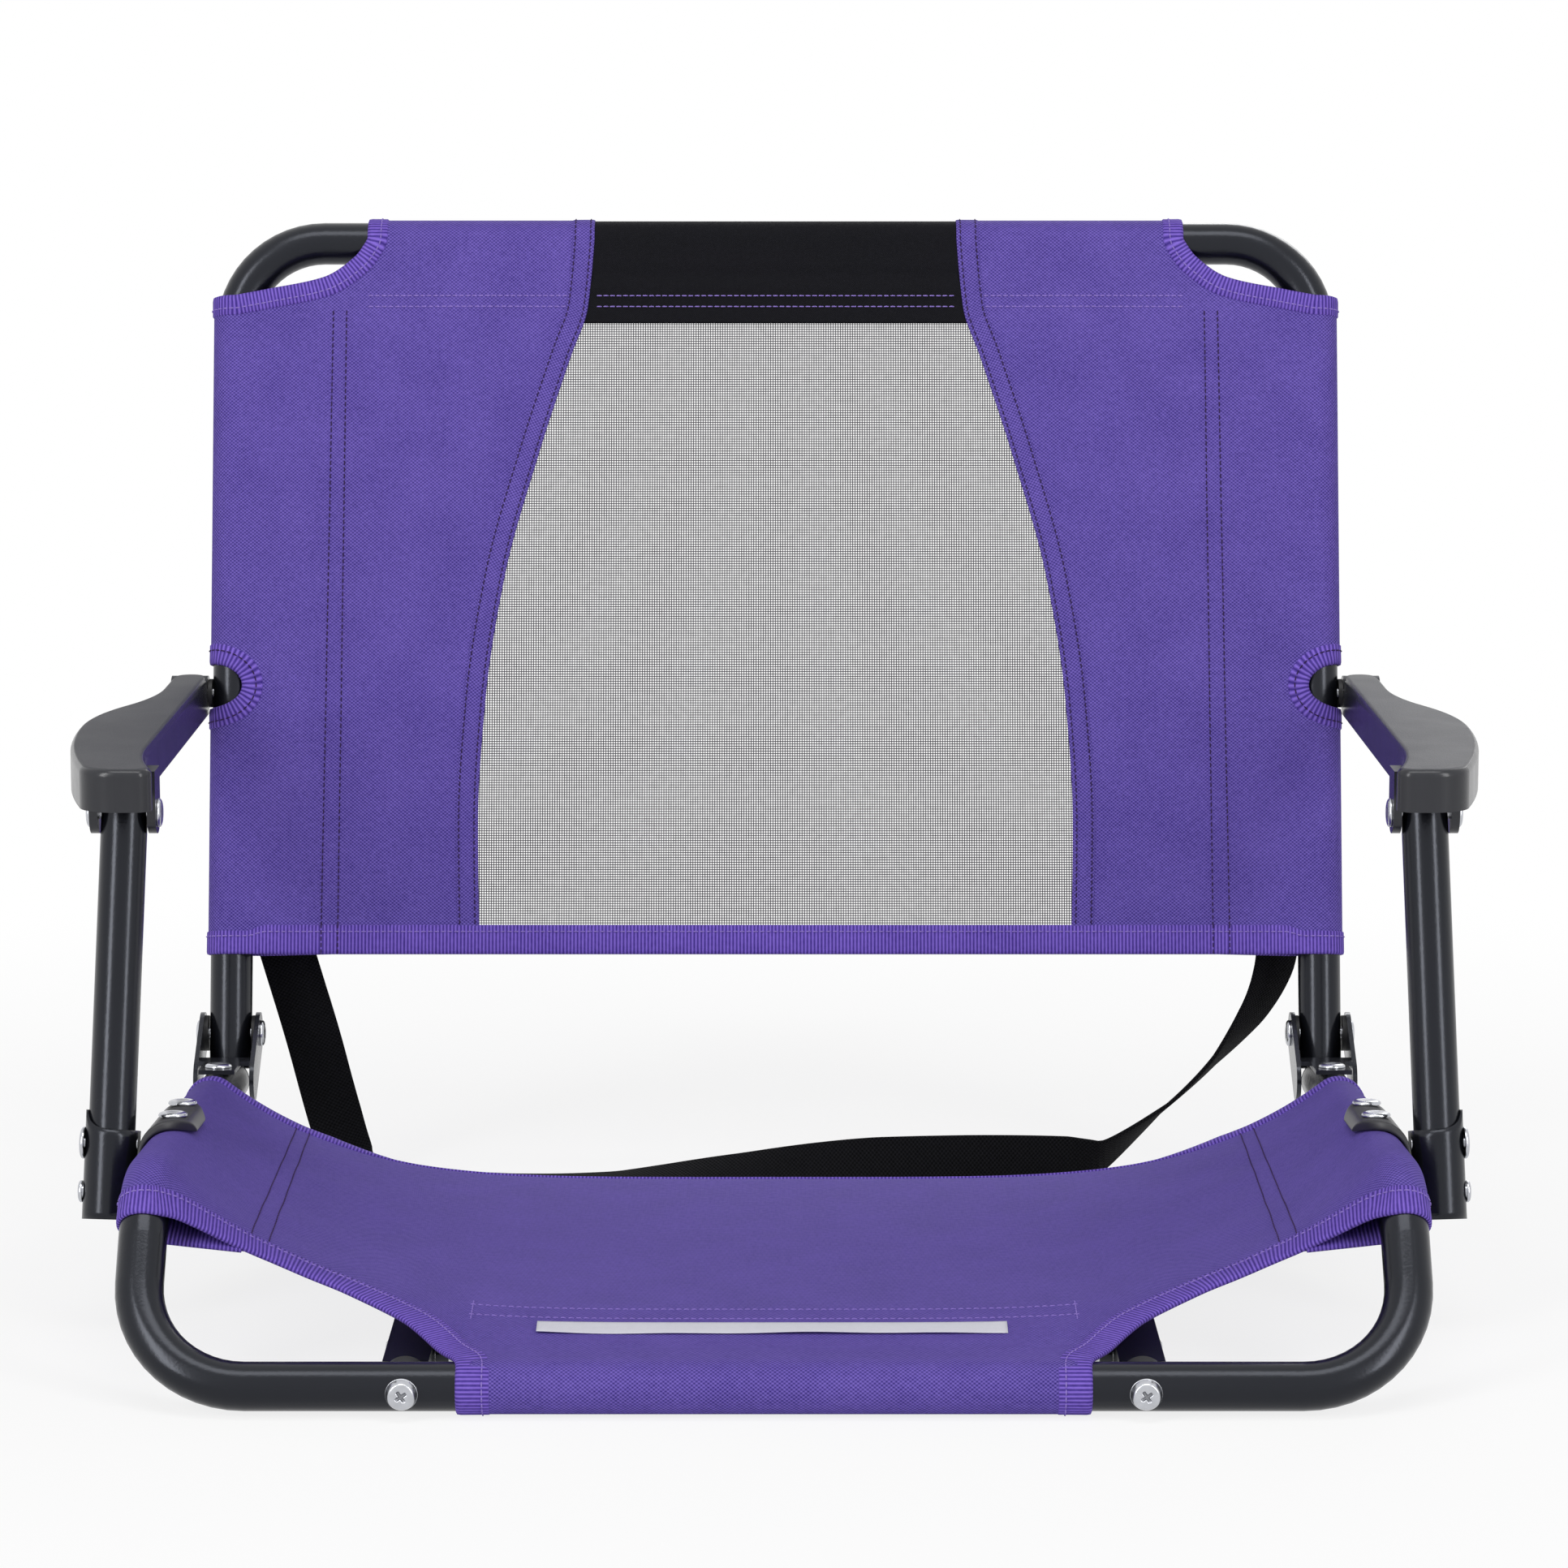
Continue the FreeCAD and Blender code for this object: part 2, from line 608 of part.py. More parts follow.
# Stretchers between front rail and rear leg, with spacers and screws
STRETCHER_FRONT = TUBE + size("spacer_length")
STRETCHER_REAR = size("leg_depth") - TUBE - size("spacer_length")
STRETCHER_Z = SCREW_Z
screws = []
spacers = []
rear_screws = []
hook_rivets = []
HOOK_PIVOT_Z = STRETCHER_Z
for name, side in SIDES.items():
    middle = side * size("stretcher_half")
    wall = size("stretcher_wall")
    wide = size("stretcher_width")
    tall = size("stretcher_height")
    blank = doc.addObject("Part::Box", "stretcher_blank_" + name)
    blank.setExpression("Length", "sizes.stretcher_width")
    blank.setExpression("Height", "sizes.stretcher_height")
    blank.Width = STRETCHER_REAR - STRETCHER_FRONT
    corner = Vector(middle - wide / 2, depth_y(STRETCHER_FRONT), STRETCHER_Z - tall / 2)
    blank.Placement = Placement(corner, Rotation())
    hollow = doc.addObject("Part::Box", "stretcher_hollow_" + name)
    hollow.setExpression("Length", "sizes.stretcher_width - 2 * sizes.stretcher_wall")
    hollow.setExpression("Height", "sizes.stretcher_height")
    hollow.Width = STRETCHER_REAR - STRETCHER_FRONT - 2 * wall
    hollow.Placement = Placement(corner + Vector(wall, wall, -wall), Rotation())
    channel = cut("stretcher_channel_" + name, blank, hollow)
    holes = [rod(Y_AXIS, Vector(middle, depth_y(0), STRETCHER_Z), SCREW_HOLE, size("leg_depth")),
             rod(X_AXIS, Vector(middle - wide, depth_y(size("hook_depth")), HOOK_PIVOT_Z),
                 RIVET_HOLE, 2 * wide)]
    keep(drilled("stretcher_" + name, channel, holes))

    for end, rail_depth, rail_height, way in (("front", 0.0, FRONT_Z, 1),
                                              ("rear", size("leg_depth"), TUBE, -1)):
        axis_point = Vector(middle, depth_y(rail_depth), rail_height)
        spacer = cylinder("spacer_%s_%s" % (end, name), "sizes.stretcher_width / 2",
                          "sizes.tube_dia / 2 + sizes.spacer_length",
                          along(Y_AXIS * way, Vector(middle, depth_y(rail_depth), STRETCHER_Z)))
        tube_space = rod(X_AXIS, axis_point - X_AXIS * wide, TUBE + FIT, 2 * wide)
        bolt_space = rod(Y_AXIS * way, Vector(middle, depth_y(rail_depth), STRETCHER_Z),
                         SCREW_HOLE, 4 * TUBE)
        spacers.append(drilled("spacer_cut_%s_%s" % (end, name), spacer, [tube_space, bolt_space]))
        head_start = Vector(middle, depth_y(rail_depth - way * TUBE), STRETCHER_Z)
        grip = 2 * TUBE + size("spacer_length") + wall
        made = rivet("%s_screw_%s" % (end, name), Y_AXIS * way, head_start, grip,
                     "sizes.screw_head", "sizes.screw_dia", "sizes.screw_rise", tail_share=0.85)
        (screws if end == "front" else rear_screws).append(made)
    hook_rivets.append(rivet("hook_rivet_" + name, X_AXIS * -side,
                             Vector(side * (size("stretcher_half") + wide / 2),
                                    depth_y(size("hook_depth")), HOOK_PIVOT_Z),
                             wide + 2 * size("run_gap") + size("hook_thick")))
keep(group("front_screws", screws))
keep(group("rear_screws", rear_screws))
keep(group("stretcher_spacers", spacers))
keep(group("hook_rivets", hook_rivets))

# Bench hooks: L-shaped flat bars beside the stretchers
for name, side in SIDES.items():
    bar = size("hook_bar") / 2
    reach = size("hook_reach")
    lip = size("hook_lip")
    pivot_y = depth_y(size("hook_depth"))
    geometry = outline_wire((pivot_y, HOOK_PIVOT_Z - bar), [
        (pivot_y + reach, HOOK_PIVOT_Z - bar),
        ((pivot_y + reach + bar * 0.707, HOOK_PIVOT_Z - bar * 0.707), (pivot_y + reach + bar, HOOK_PIVOT_Z)),
        (pivot_y + reach + bar, HOOK_PIVOT_Z + lip),
        (pivot_y + reach - bar, HOOK_PIVOT_Z + lip),
        (pivot_y + reach - bar, HOOK_PIVOT_Z + bar),
        (pivot_y, HOOK_PIVOT_Z + bar),
        ((pivot_y - bar, HOOK_PIVOT_Z), (pivot_y, HOOK_PIVOT_Z - bar)),
    ])
    bar_in = size("stretcher_width") / 2 + size("run_gap") + size("hook_thick") / 2
    bar_middle = size("stretcher_half") - bar_in
    hook = padded_body("hook_blank_" + name, geometry, "sizes.hook_thick", side_plane(side, bar_middle), True)
    hole = rod(X_AXIS, Vector(-size("frame_half"), pivot_y, HOOK_PIVOT_Z), RIVET_HOLE, 2 * HALF)
    keep(drilled("hook_" + name, hook, [hole]))

# Hinge brackets on the rail ends
PLATE_IN = TUBE + size("hinge_space")
PLATE_OUT = PLATE_IN + size("hinge_plate")
hinge_pins = []
washers = []
tongue_rivets = []
for name, side in SIDES.items():
    top = HINGE
    foot = HINGE - Vector(0, size("hinge_foot_back"), size("hinge_foot_drop"))
    arm = (top - foot).normalize()
    normal = Vector(0, -arm.z, arm.y)
    big = size("hinge_round")
    low_edge = [(point - normal * big) for point in (foot, top)]
    high_edge = [(point + normal * big) for point in (foot, top)]
    geometry = outline_wire((low_edge[0].y, low_edge[0].z), [
        (low_edge[1].y, low_edge[1].z),
        (((top + arm * big).y, (top + arm * big).z), (high_edge[1].y, high_edge[1].z)),
        (high_edge[0].y, high_edge[0].z),
        (((foot - arm * big).y, (foot - arm * big).z), (low_edge[0].y, low_edge[0].z)),
    ])
    plates = []
    for edge, offset in (("in", HALF - PLATE_OUT), ("out", HALF + PLATE_IN)):
        start = offset if side > 0 else offset + size("hinge_plate")
        plates.append(padded_body("hinge_plate_%s_%s" % (edge, name), geometry, "sizes.hinge_plate",
                                  side_plane(side, start)))
    web = doc.addObject("Part::Box", "hinge_web_" + name)
    web.Length = 2 * PLATE_IN
    web.Width = size("hinge_foot_back") + size("hinge_round") - size("web_end")
    web.setExpression("Height", "sizes.hinge_plate")
    rest = TUBE + FIT
    web.Placement = rail_place(side, size("hinge_depth")).multiply(
        Placement(Vector(-PLATE_IN, -size("hinge_foot_back") - size("hinge_round"), rest), Rotation()))
    tongue = doc.addObject("Part::Box", "hinge_tongue_" + name)
    tongue.setExpression("Length", "2 * sizes.tongue_half")
    tongue.Width = size("tongue_front") - size("hinge_foot_back")
    tongue.setExpression("Height", "sizes.hinge_plate")
    tongue.Placement = rail_place(side, size("hinge_depth")).multiply(
        Placement(Vector(-size("tongue_half"), -size("tongue_front"), rest), Rotation()))
    bracket = fuse("hinge_bracket_blank_" + name, plates + [web, tongue])
    pin_start = HINGE + X_AXIS * (side * HALF - 4 * TUBE)
    pin_hole = rod(X_AXIS, pin_start, size("hinge_pin_dia") / 2 + FIT, 8 * TUBE)
    bracket_holes = [pin_hole] + rail_normal_holes([TONGUE_RIVET], RIVET_HOLE)
    keep(drilled("hinge_bracket_" + name, bracket, bracket_holes))
    hinge_pins.append(rivet("hinge_pin_" + name, X_AXIS, HINGE + X_AXIS * (side * HALF - PLATE_OUT),
                            2 * PLATE_OUT, dia="sizes.hinge_pin_dia"))
    for index, way in enumerate((-1, 1)):
        start = HINGE + X_AXIS * (side * HALF + way * (TUBE + size("run_gap")))
        disc = cylinder("hinge_washer_disc_%s%d" % (name, index), "sizes.rivet_head * 0.7",
                        "sizes.hinge_space - sizes.run_gap", along(X_AXIS * way, start))
        washers.append(drilled("hinge_washer_%s%d" % (name, index), disc, [pin_hole]))
    place = rail_place(side, TONGUE_RIVET)
    up = place.Rotation.multVec(Vector(0, 0, 1))
    tongue_rivets.append(rivet("tongue_rivet_" + name, up * -1,
                               place.multVec(Vector(0, 0, rest + size("hinge_plate"))),
                               rest + size("hinge_plate") + TUBE + FIT))
keep(group("hinge_pins", hinge_pins))
keep(group("hinge_washers", washers))
keep(group("rail_rivets", tongue_rivets))

# Front flap: from the sling's front down to the front rail, which it wraps
def flap_section(depth, half, low, edge):
    """Thin section of the flap: its middle lies at low and its ends at edge."""
    upper = [Vector(-half, 0, edge), Vector(0, 0, low), Vector(half, 0, edge)]
    lower = [point - Vector(0, 0, T) for point in upper]
    edges = [arc_edge(*upper), line_edge(upper[2], lower[2]),
             arc_edge(*reversed(lower)), line_edge(lower[0], upper[0])]
    return at_depth(edges, depth)


FLAP_TOP = FRONT_Z + SLEEVE_OUT
front_depth = size("sleeve_front") - GAP
stitch_x = SLING_STITCH
flap_rows = [
    (front_depth, stitch_x, sling_low(size("sleeve_front")), sag_height(size("sleeve_front"), stitch_x, 0)),
    (size("flap_stitch"), 0.5 * (stitch_x + size("flap_half")), sling_low(size("sleeve_front")), 0.0),
    (0.6 * size("flap_stitch"), 1.12 * size("flap_half"), FLAP_TOP + 2.5 * T, FLAP_TOP + 4 * T),
    (TUBE, size("flap_half"), FLAP_TOP, FLAP_TOP + 0.2 * T),
]
flap_rows[1] = flap_rows[1][:3] + (0.5 * (flap_rows[0][3] + flap_rows[2][3]) - T,)
flap = Part.makeLoft([flap_section(*row) for row in flap_rows], True, True)
front_axis = Vector(0, depth_y(0), FRONT_Z)


def front_round(radius, angle):
    """A point of the flap's wrap in the side view, by its angle from straight back."""
    return front_axis + Vector(0, math.cos(angle), math.sin(angle)) * radius


flap_end = depth_y(TUBE) - GAP
seam = Vector(0, depth_y(size("flap_stitch")), FLAP_TOP)
seam_gap = seam - front_axis
low_angle = math.atan2(seam_gap.z, seam_gap.y) - math.acos(SLEEVE_OUT / seam_gap.Length)
turn_angle = (math.pi / 2 + low_angle + 2 * math.pi) / 2
wrap_edges = [
    line_edge(Vector(0, flap_end, FLAP_TOP), front_round(SLEEVE_OUT, math.pi / 2)),
    arc_edge(front_round(SLEEVE_OUT, math.pi / 2), front_round(SLEEVE_OUT, turn_angle),
             front_round(SLEEVE_OUT, low_angle)),
    line_edge(front_round(SLEEVE_OUT, low_angle), front_round(SLEEVE_IN, low_angle)),
    arc_edge(front_round(SLEEVE_IN, low_angle), front_round(SLEEVE_IN, turn_angle),
             front_round(SLEEVE_IN, math.pi / 2)),
    line_edge(front_round(SLEEVE_IN, math.pi / 2), Vector(0, flap_end, FLAP_TOP - T)),
    line_edge(Vector(0, flap_end, FLAP_TOP - T), Vector(0, flap_end, FLAP_TOP)),
]
wrap_face = Part.Face(Part.Wire(wrap_edges))
wrap_face.translate(Vector(-size("flap_half"), 0, 0))
wrap = wrap_face.extrude(Vector(2 * size("flap_half"), 0, 0))
keep(feature("seat_flap", flap))
keep(feature("flap_wrap", wrap))


# Back frame: inverted U tube in the back's own frame, with Z up the uprights
def back_point(x, up, behind=0.0):
    """A point of the back in the seat's frame."""
    return BACK_PLACE.multVec(Vector(x, behind, up))


back_line = [Vector(-HALF, 0, -size("upright_tail")), Vector(-HALF, 0, size("back_length")),
             Vector(HALF, 0, size("back_length")), Vector(HALF, 0, -size("upright_tail"))]
back_wire = bent_wire(back_line, [size("top_radius")] * 2)
back_hollow = tube("back_frame", back_wire, Vector(0, 0, 1), BACK_PLACE, "back_wall")
back_holes = []
for side in SIDES.values():
    for centre, pin in ((HINGE, "hinge_pin_dia"), (ARM_PIVOT, "arm_pin_dia")):
        hole_start = centre + X_AXIS * (side * HALF - 2 * TUBE)
        back_holes.append(rod(X_AXIS, hole_start, size(pin) / 2 + FIT, 4 * TUBE))
keep(drilled("back_frame_tube", back_hollow, back_holes))

upright_plugs = []
BACK_UP = BACK_TURN.multVec(Vector(0, 0, 1))
for name, side in SIDES.items():
    stem = cylinder("upright_plug_stem_" + name, "sizes.tube_dia / 2 - sizes.back_wall - sizes.fit_gap",
                    "sizes.plug_depth * 0.6", along(BACK_UP, back_point(side * HALF, -size("upright_tail"))))
    upright_plugs.append(stem)
keep(group("upright_plugs", upright_plugs))

# Armrest bushes and pins on the uprights
bushes = []
arm_pins = []
ARM_INNER = ARM_HALF - size("arm_rear_half")
for name, side in SIDES.items():
    out = X_AXIS * side
    bush_start = ARM_PIVOT + out * (HALF + TUBE + FIT)
    bush = doc.addObject("Part::Cylinder", "arm_bush_disc_" + name)
    bush.setExpression("Radius", "sizes.bush_dia / 2")
    bush.Height = ARM_INNER - size("run_gap") - (HALF + TUBE + FIT)
    bush.Placement = along(out, bush_start)
    pin_space = rod(out, ARM_PIVOT + out * (HALF - 2 * TUBE), size("arm_pin_dia") / 2 + FIT, 8 * TUBE)
    bushes.append(drilled("arm_bush_" + name, bush, [pin_space]))
    pin_start = ARM_PIVOT + out * (HALF - TUBE - FIT)
    arm_pins.append(rivet("arm_pin_" + name, out, pin_start,
                          ARM_HALF + size("arm_rear_half") - size("arm_wall") - (HALF - TUBE - FIT),
                          head_dia="sizes.bush_dia * 0.75", dia="sizes.arm_pin_dia", tail=False))
keep(group("arm_bushes", bushes))
keep(group("arm_pins", arm_pins))

# Back cover: a cloth panel each side, sleeved round upright and top tube, and the mesh between them
TOP = size("back_length")
FACE = SLEEVE_IN
BOTTOM = size("panel_bottom")
PANEL_TOP_END = HALF - size("panel_top_inset")
HEM_LOW = TOP - size("top_stitch") - SLEEVE_OUT


def seam_bow(top, bottom):
    """Half-way width of the bowed seam between panel and mesh."""
    return 0.5 * (top + bottom) + size("seam_bow") * (bottom - top)


def sheet_outline(side):
    """Outline of one side panel's front layer, X across and Y up the back."""
    top_end = PANEL_TOP_END
    corner = TOP - size("panel_corner_drop")
    seam_top = size("panel_seam_top")
    seam_bottom = size("panel_seam_bottom")
    points = [(seam_bottom, BOTTOM), (HALF, BOTTOM), (HALF, corner),
              ((0.5 * (HALF + top_end) - 0.15 * (HALF - top_end), corner + 0.22 * (TOP - corner)),
               (top_end, TOP)), (seam_top, TOP), (seam_top, HEM_LOW),
              ((seam_bow(seam_top, seam_bottom), 0.5 * (BOTTOM + HEM_LOW)), (seam_bottom, BOTTOM))]

    def turned(step):
        if isinstance(step[0], tuple):
            return tuple(turned(point) for point in step)
        return (side * step[0], step[1])

    return outline_wire(turned(points[0]), [turned(step) for step in points[1:]])


UP_FACE = Rotation(Vector(1, 0, 0), Vector(0, 0, 1), Vector(0, -1, 0), "ZXY")


def loop_profile(stitch, hem_gap):
    """A sleeve's cross-section: round the tube at the origin and back to the front layer at the stitch."""
    far = Vector(stitch, -FACE, 0)
    parts = []
    for radius in (SLEEVE_OUT, SLEEVE_IN):
        swing = math.acos(radius / far.Length)
        angle = math.atan2(far.y, far.x) + swing
        touch = Vector(math.cos(angle), math.sin(angle), 0) * radius
        parts.append((radius, angle, touch))
    (outer, outer_angle, outer_touch), (inner, inner_angle, inner_touch) = parts
    start_angle = -math.pi / 2

    def spot(radius, angle):
        return Vector(math.cos(angle), math.sin(angle), 0) * radius

    def middle(angle):
        return (start_angle + angle - 2 * math.pi) / 2

    end_out = Vector(stitch - hem_gap, -FACE, 0)
    end_in = Vector(stitch - hem_gap - 2 * T, -FACE, 0)
    edges = [
        arc_edge(spot(outer, start_angle), spot(outer, middle(outer_angle)), outer_touch),
        line_edge(outer_touch, end_out),
        line_edge(end_out, end_in),
        line_edge(end_in, inner_touch),
        arc_edge(inner_touch, spot(inner, middle(inner_angle)), spot(inner, start_angle)),
        line_edge(spot(inner, start_angle), spot(outer, start_angle)),
    ]
    return Part.Face(Part.Wire(edges))


def notch(side):
    """Half-moon cut that lets the armrest's bush through the sleeve."""
    centre = Vector(side * (HALF + SLEEVE_OUT - FIT), -4 * TUBE, size("arm_pivot"))
    return rod(Y_AXIS, centre, size("notch_radius"), 8 * TUBE)


for name, side in SIDES.items():
    body = padded_body("panel_front_" + name, sheet_outline(side), "sizes.cloth",
                       Placement(Vector(0, -FACE, 0), UP_FACE))
    doc.recompute()
    front = body.Shape.copy()
    side_loop = loop_profile(size("panel_stitch_inset"), GAP)
    side_sleeve = side_loop.extrude(Vector(0, 0, TOP - size("panel_corner_drop") - BOTTOM))
    side_sleeve.translate(Vector(-HALF, 0, BOTTOM))
    if side > 0:
        side_sleeve = side_sleeve.mirror(Vector(0, 0, 0), X_AXIS)
    top_loop = loop_profile(size("top_stitch"), GAP)
    top_loop.rotate(Vector(0, 0, 0), Vector(0, 1, 0), 90)
    top_sleeve = top_loop.extrude(Vector(PANEL_TOP_END - size("panel_seam_top"), 0, 0))
    top_start = size("panel_seam_top") if side > 0 else -PANEL_TOP_END
    top_sleeve.translate(Vector(top_start, 0, TOP))
    bend_centre = Vector(side * (HALF - size("top_radius")), 0, TOP - size("top_radius"))
    bend_room = Part.makeTorus(size("top_radius"), TUBE + GAP, bend_centre, Y_AXIS)
    panel = front.fuse([side_sleeve, top_sleeve]).cut(notch(side)).cut(bend_room).removeSplitter()
    keep(feature("back_panel_" + name, panel, BACK_PLACE))

lap = size("seam_overlap")
seam_top = size("panel_seam_top") - 2 * GAP
seam_low = size("panel_seam_bottom") + lap
mesh_bow = seam_bow(seam_top, size("panel_seam_bottom")) + lap
mesh_top = TOP - size("top_stitch") + 2 * T
mesh_outline = outline_wire((-seam_low, BOTTOM), [
    (seam_low, BOTTOM), ((mesh_bow, 0.5 * (BOTTOM + HEM_LOW)), (seam_top + lap, HEM_LOW)),
    (seam_top, HEM_LOW), (seam_top, mesh_top), (-seam_top, mesh_top), (-seam_top, HEM_LOW),
    (-seam_top - lap, HEM_LOW), ((-mesh_bow, 0.5 * (BOTTOM + HEM_LOW)), (-seam_low, BOTTOM)),
])
mesh_body = padded_body("mesh_front", mesh_outline, "sizes.mesh",
                        Placement(Vector(0, -FACE + size("mesh"), 0), UP_FACE))
doc.recompute()
hem_loop = loop_profile(size("top_stitch"), GAP)
hem_loop.rotate(Vector(0, 0, 0), Vector(0, 1, 0), 90)
hem = hem_loop.extrude(Vector(2 * seam_top, 0, 0))
hem.translate(Vector(-seam_top, 0, TOP))
hem_front = Part.makeBox(2 * seam_top, T, TOP - HEM_LOW, Vector(-seam_top, -SLEEVE_OUT, HEM_LOW))
mesh_shape = mesh_body.Shape.copy().fuse([hem, hem_front]).removeSplitter()
keep(feature("mesh_panel", mesh_shape, BACK_PLACE))

# Armrests: moulded shells, open underneath, with two ears that hold the post
ARM_TOP = POST_TOP_PIVOT.z + size("arm_rise")
nose_y = POST_TOP_PIVOT.y - size("arm_nose")
tail_y = ARM_PIVOT.y + size("arm_tail")


def bow(side, centre, radius, first, last):
    """Middle and end of an arc in plan, from its centre, radius and angles, mirrored by the side."""
    turns = (0.5 * (first + last), last)
    ends = [(centre[0] + radius * math.cos(turn), centre[1] + radius * math.sin(turn)) for turn in turns]
    return tuple((side * x, y) for x, y in ends)


def arm_outline(side, inset):
    """Plan of one armrest in arcs that run into each other, X outward from its line, less the inset."""
    rear = size("arm_rear_half") - inset
    wide = size("arm_bulge") - inset
    toe = size("arm_toe") - inset
    start = nose_y + inset
    end = tail_y - inset
    waist = nose_y + size("arm_waist")
    belly = nose_y + size("arm_belly")
    swing = ((wide - rear) ** 2 + (waist - belly) ** 2) / (4 * (wide - rear))
    sway = math.asin((waist - belly) / (2 * swing))
    flank = size("arm_flank")
    outer = size("arm_nose_round") - inset
    slant = math.asin((belly - start - outer) / (flank - outer))
    outer_x = wide - flank + (flank - outer) * math.cos(slant)
    turn = start + size("arm_toe_length")
    fall = toe - rear
    bend = 2 * math.atan(fall / (turn - start - 1.25 * size("arm_corner")))
    flare = fall / (1 - math.cos(bend))
    corner = (turn - start - flare * math.sin(bend)) / (1 + math.sin(bend))
    inner_x = -toe + corner * math.cos(bend)
    return outline_wire((side * rear, waist), [
        bow(side, (rear + swing, waist), swing, math.pi, math.pi + sway),
        bow(side, (wide - swing, belly), swing, sway, 0),
        bow(side, (wide - flank, belly), flank, 0, -slant),
        bow(side, (outer_x, start + outer), outer, -slant, -math.pi / 2),
        (side * inner_x, start),
        bow(side, (inner_x, start + corner), corner, -math.pi / 2, -math.pi - bend),
        bow(side, (-rear - flare, turn), flare, -bend, 0),
        (-side * rear, end - rear),
        bow(side, (0, end - rear), rear, math.pi, 0),
        (side * rear, waist),
    ])


for name, side in SIDES.items():
    low = Placement(Vector(side * ARM_HALF, 0, ARM_TOP - size("arm_depth")), Rotation())
    body = padded_body("arm_block_" + name, arm_outline(side, 0.0), "sizes.arm_depth", low)
    hollow = padded_body("arm_hollow_" + name, arm_outline(side, size("arm_wall")),
                         "sizes.arm_depth - sizes.arm_roof", low)
    doc.recompute()
    top_edges = [edge for edge in body.Shape.Edges
                 if min(vertex.Z for vertex in edge.Vertexes) > ARM_TOP - FIT]
    block = body.Shape.makeFillet(size("arm_edge"), top_edges)
    boss_start = ARM_PIVOT + X_AXIS * (side * ARM_HALF - size("arm_rear_half"))
    boss_round = rod(X_AXIS, boss_start, size("arm_tail"), 2 * size("arm_rear_half"))
    shell = block.cut(hollow.Shape).fuse(boss_round)
    ear_in = TUBE + 2 * size("run_gap")
    ear_up = size("arm_rise") - size("arm_roof") / 2
    inner_up = size("arm_rise") - 2 * size("arm_edge")
    round_ends = []
    for way in (-1, 1):
        start = POST_TOP_PIVOT + X_AXIS * (side * ARM_HALF + side * way * ear_in)
        round_ends.append(rod(X_AXIS * (side * way), start, size("arm_ear_round"), size("arm_ear")))
        bridge = 0.0 if way > 0 else size("arm_wall") + size("run_gap")
        span = sorted([side * (ARM_HALF + way * (ear_in - bridge)),
                       side * (ARM_HALF + way * (ear_in + size("arm_ear")))])
        stem = Part.makeBox(span[1] - span[0], 2 * size("arm_ear_round"), ear_up if way > 0 else inner_up,
                            Vector(span[0], POST_TOP_PIVOT.y - size("arm_ear_round"), POST_TOP_PIVOT.z))
        shell = shell.fuse(stem)
    post_room = rod(X_AXIS, POST_TOP_PIVOT + X_AXIS * (side * ARM_HALF - ear_in), 1.35 * TUBE, 2 * ear_in)
    shell = shell.cut(post_room).fuse(round_ends)
    holes = [rod(X_AXIS * side, ARM_PIVOT + X_AXIS * (side * HALF), size("arm_pin_dia") / 2 + FIT,
                 ARM_HALF + size("arm_rear_half") - size("arm_wall") + 2 * GAP - HALF),
             rod(X_AXIS, POST_TOP_PIVOT + X_AXIS * (side * ARM_HALF - 2 * TUBE), RIVET_HOLE, 4 * TUBE)]
    blank = feature("arm_shell_" + name, shell.removeSplitter())
    keep(drilled("armrest_" + name, blank, holes))
    ear_out = TUBE + 2 * size("run_gap") + size("arm_ear")
    keep(rivet("armrest_rivet_" + name, X_AXIS,
               POST_TOP_PIVOT + X_AXIS * (side * ARM_HALF - ear_out), 2 * ear_out))

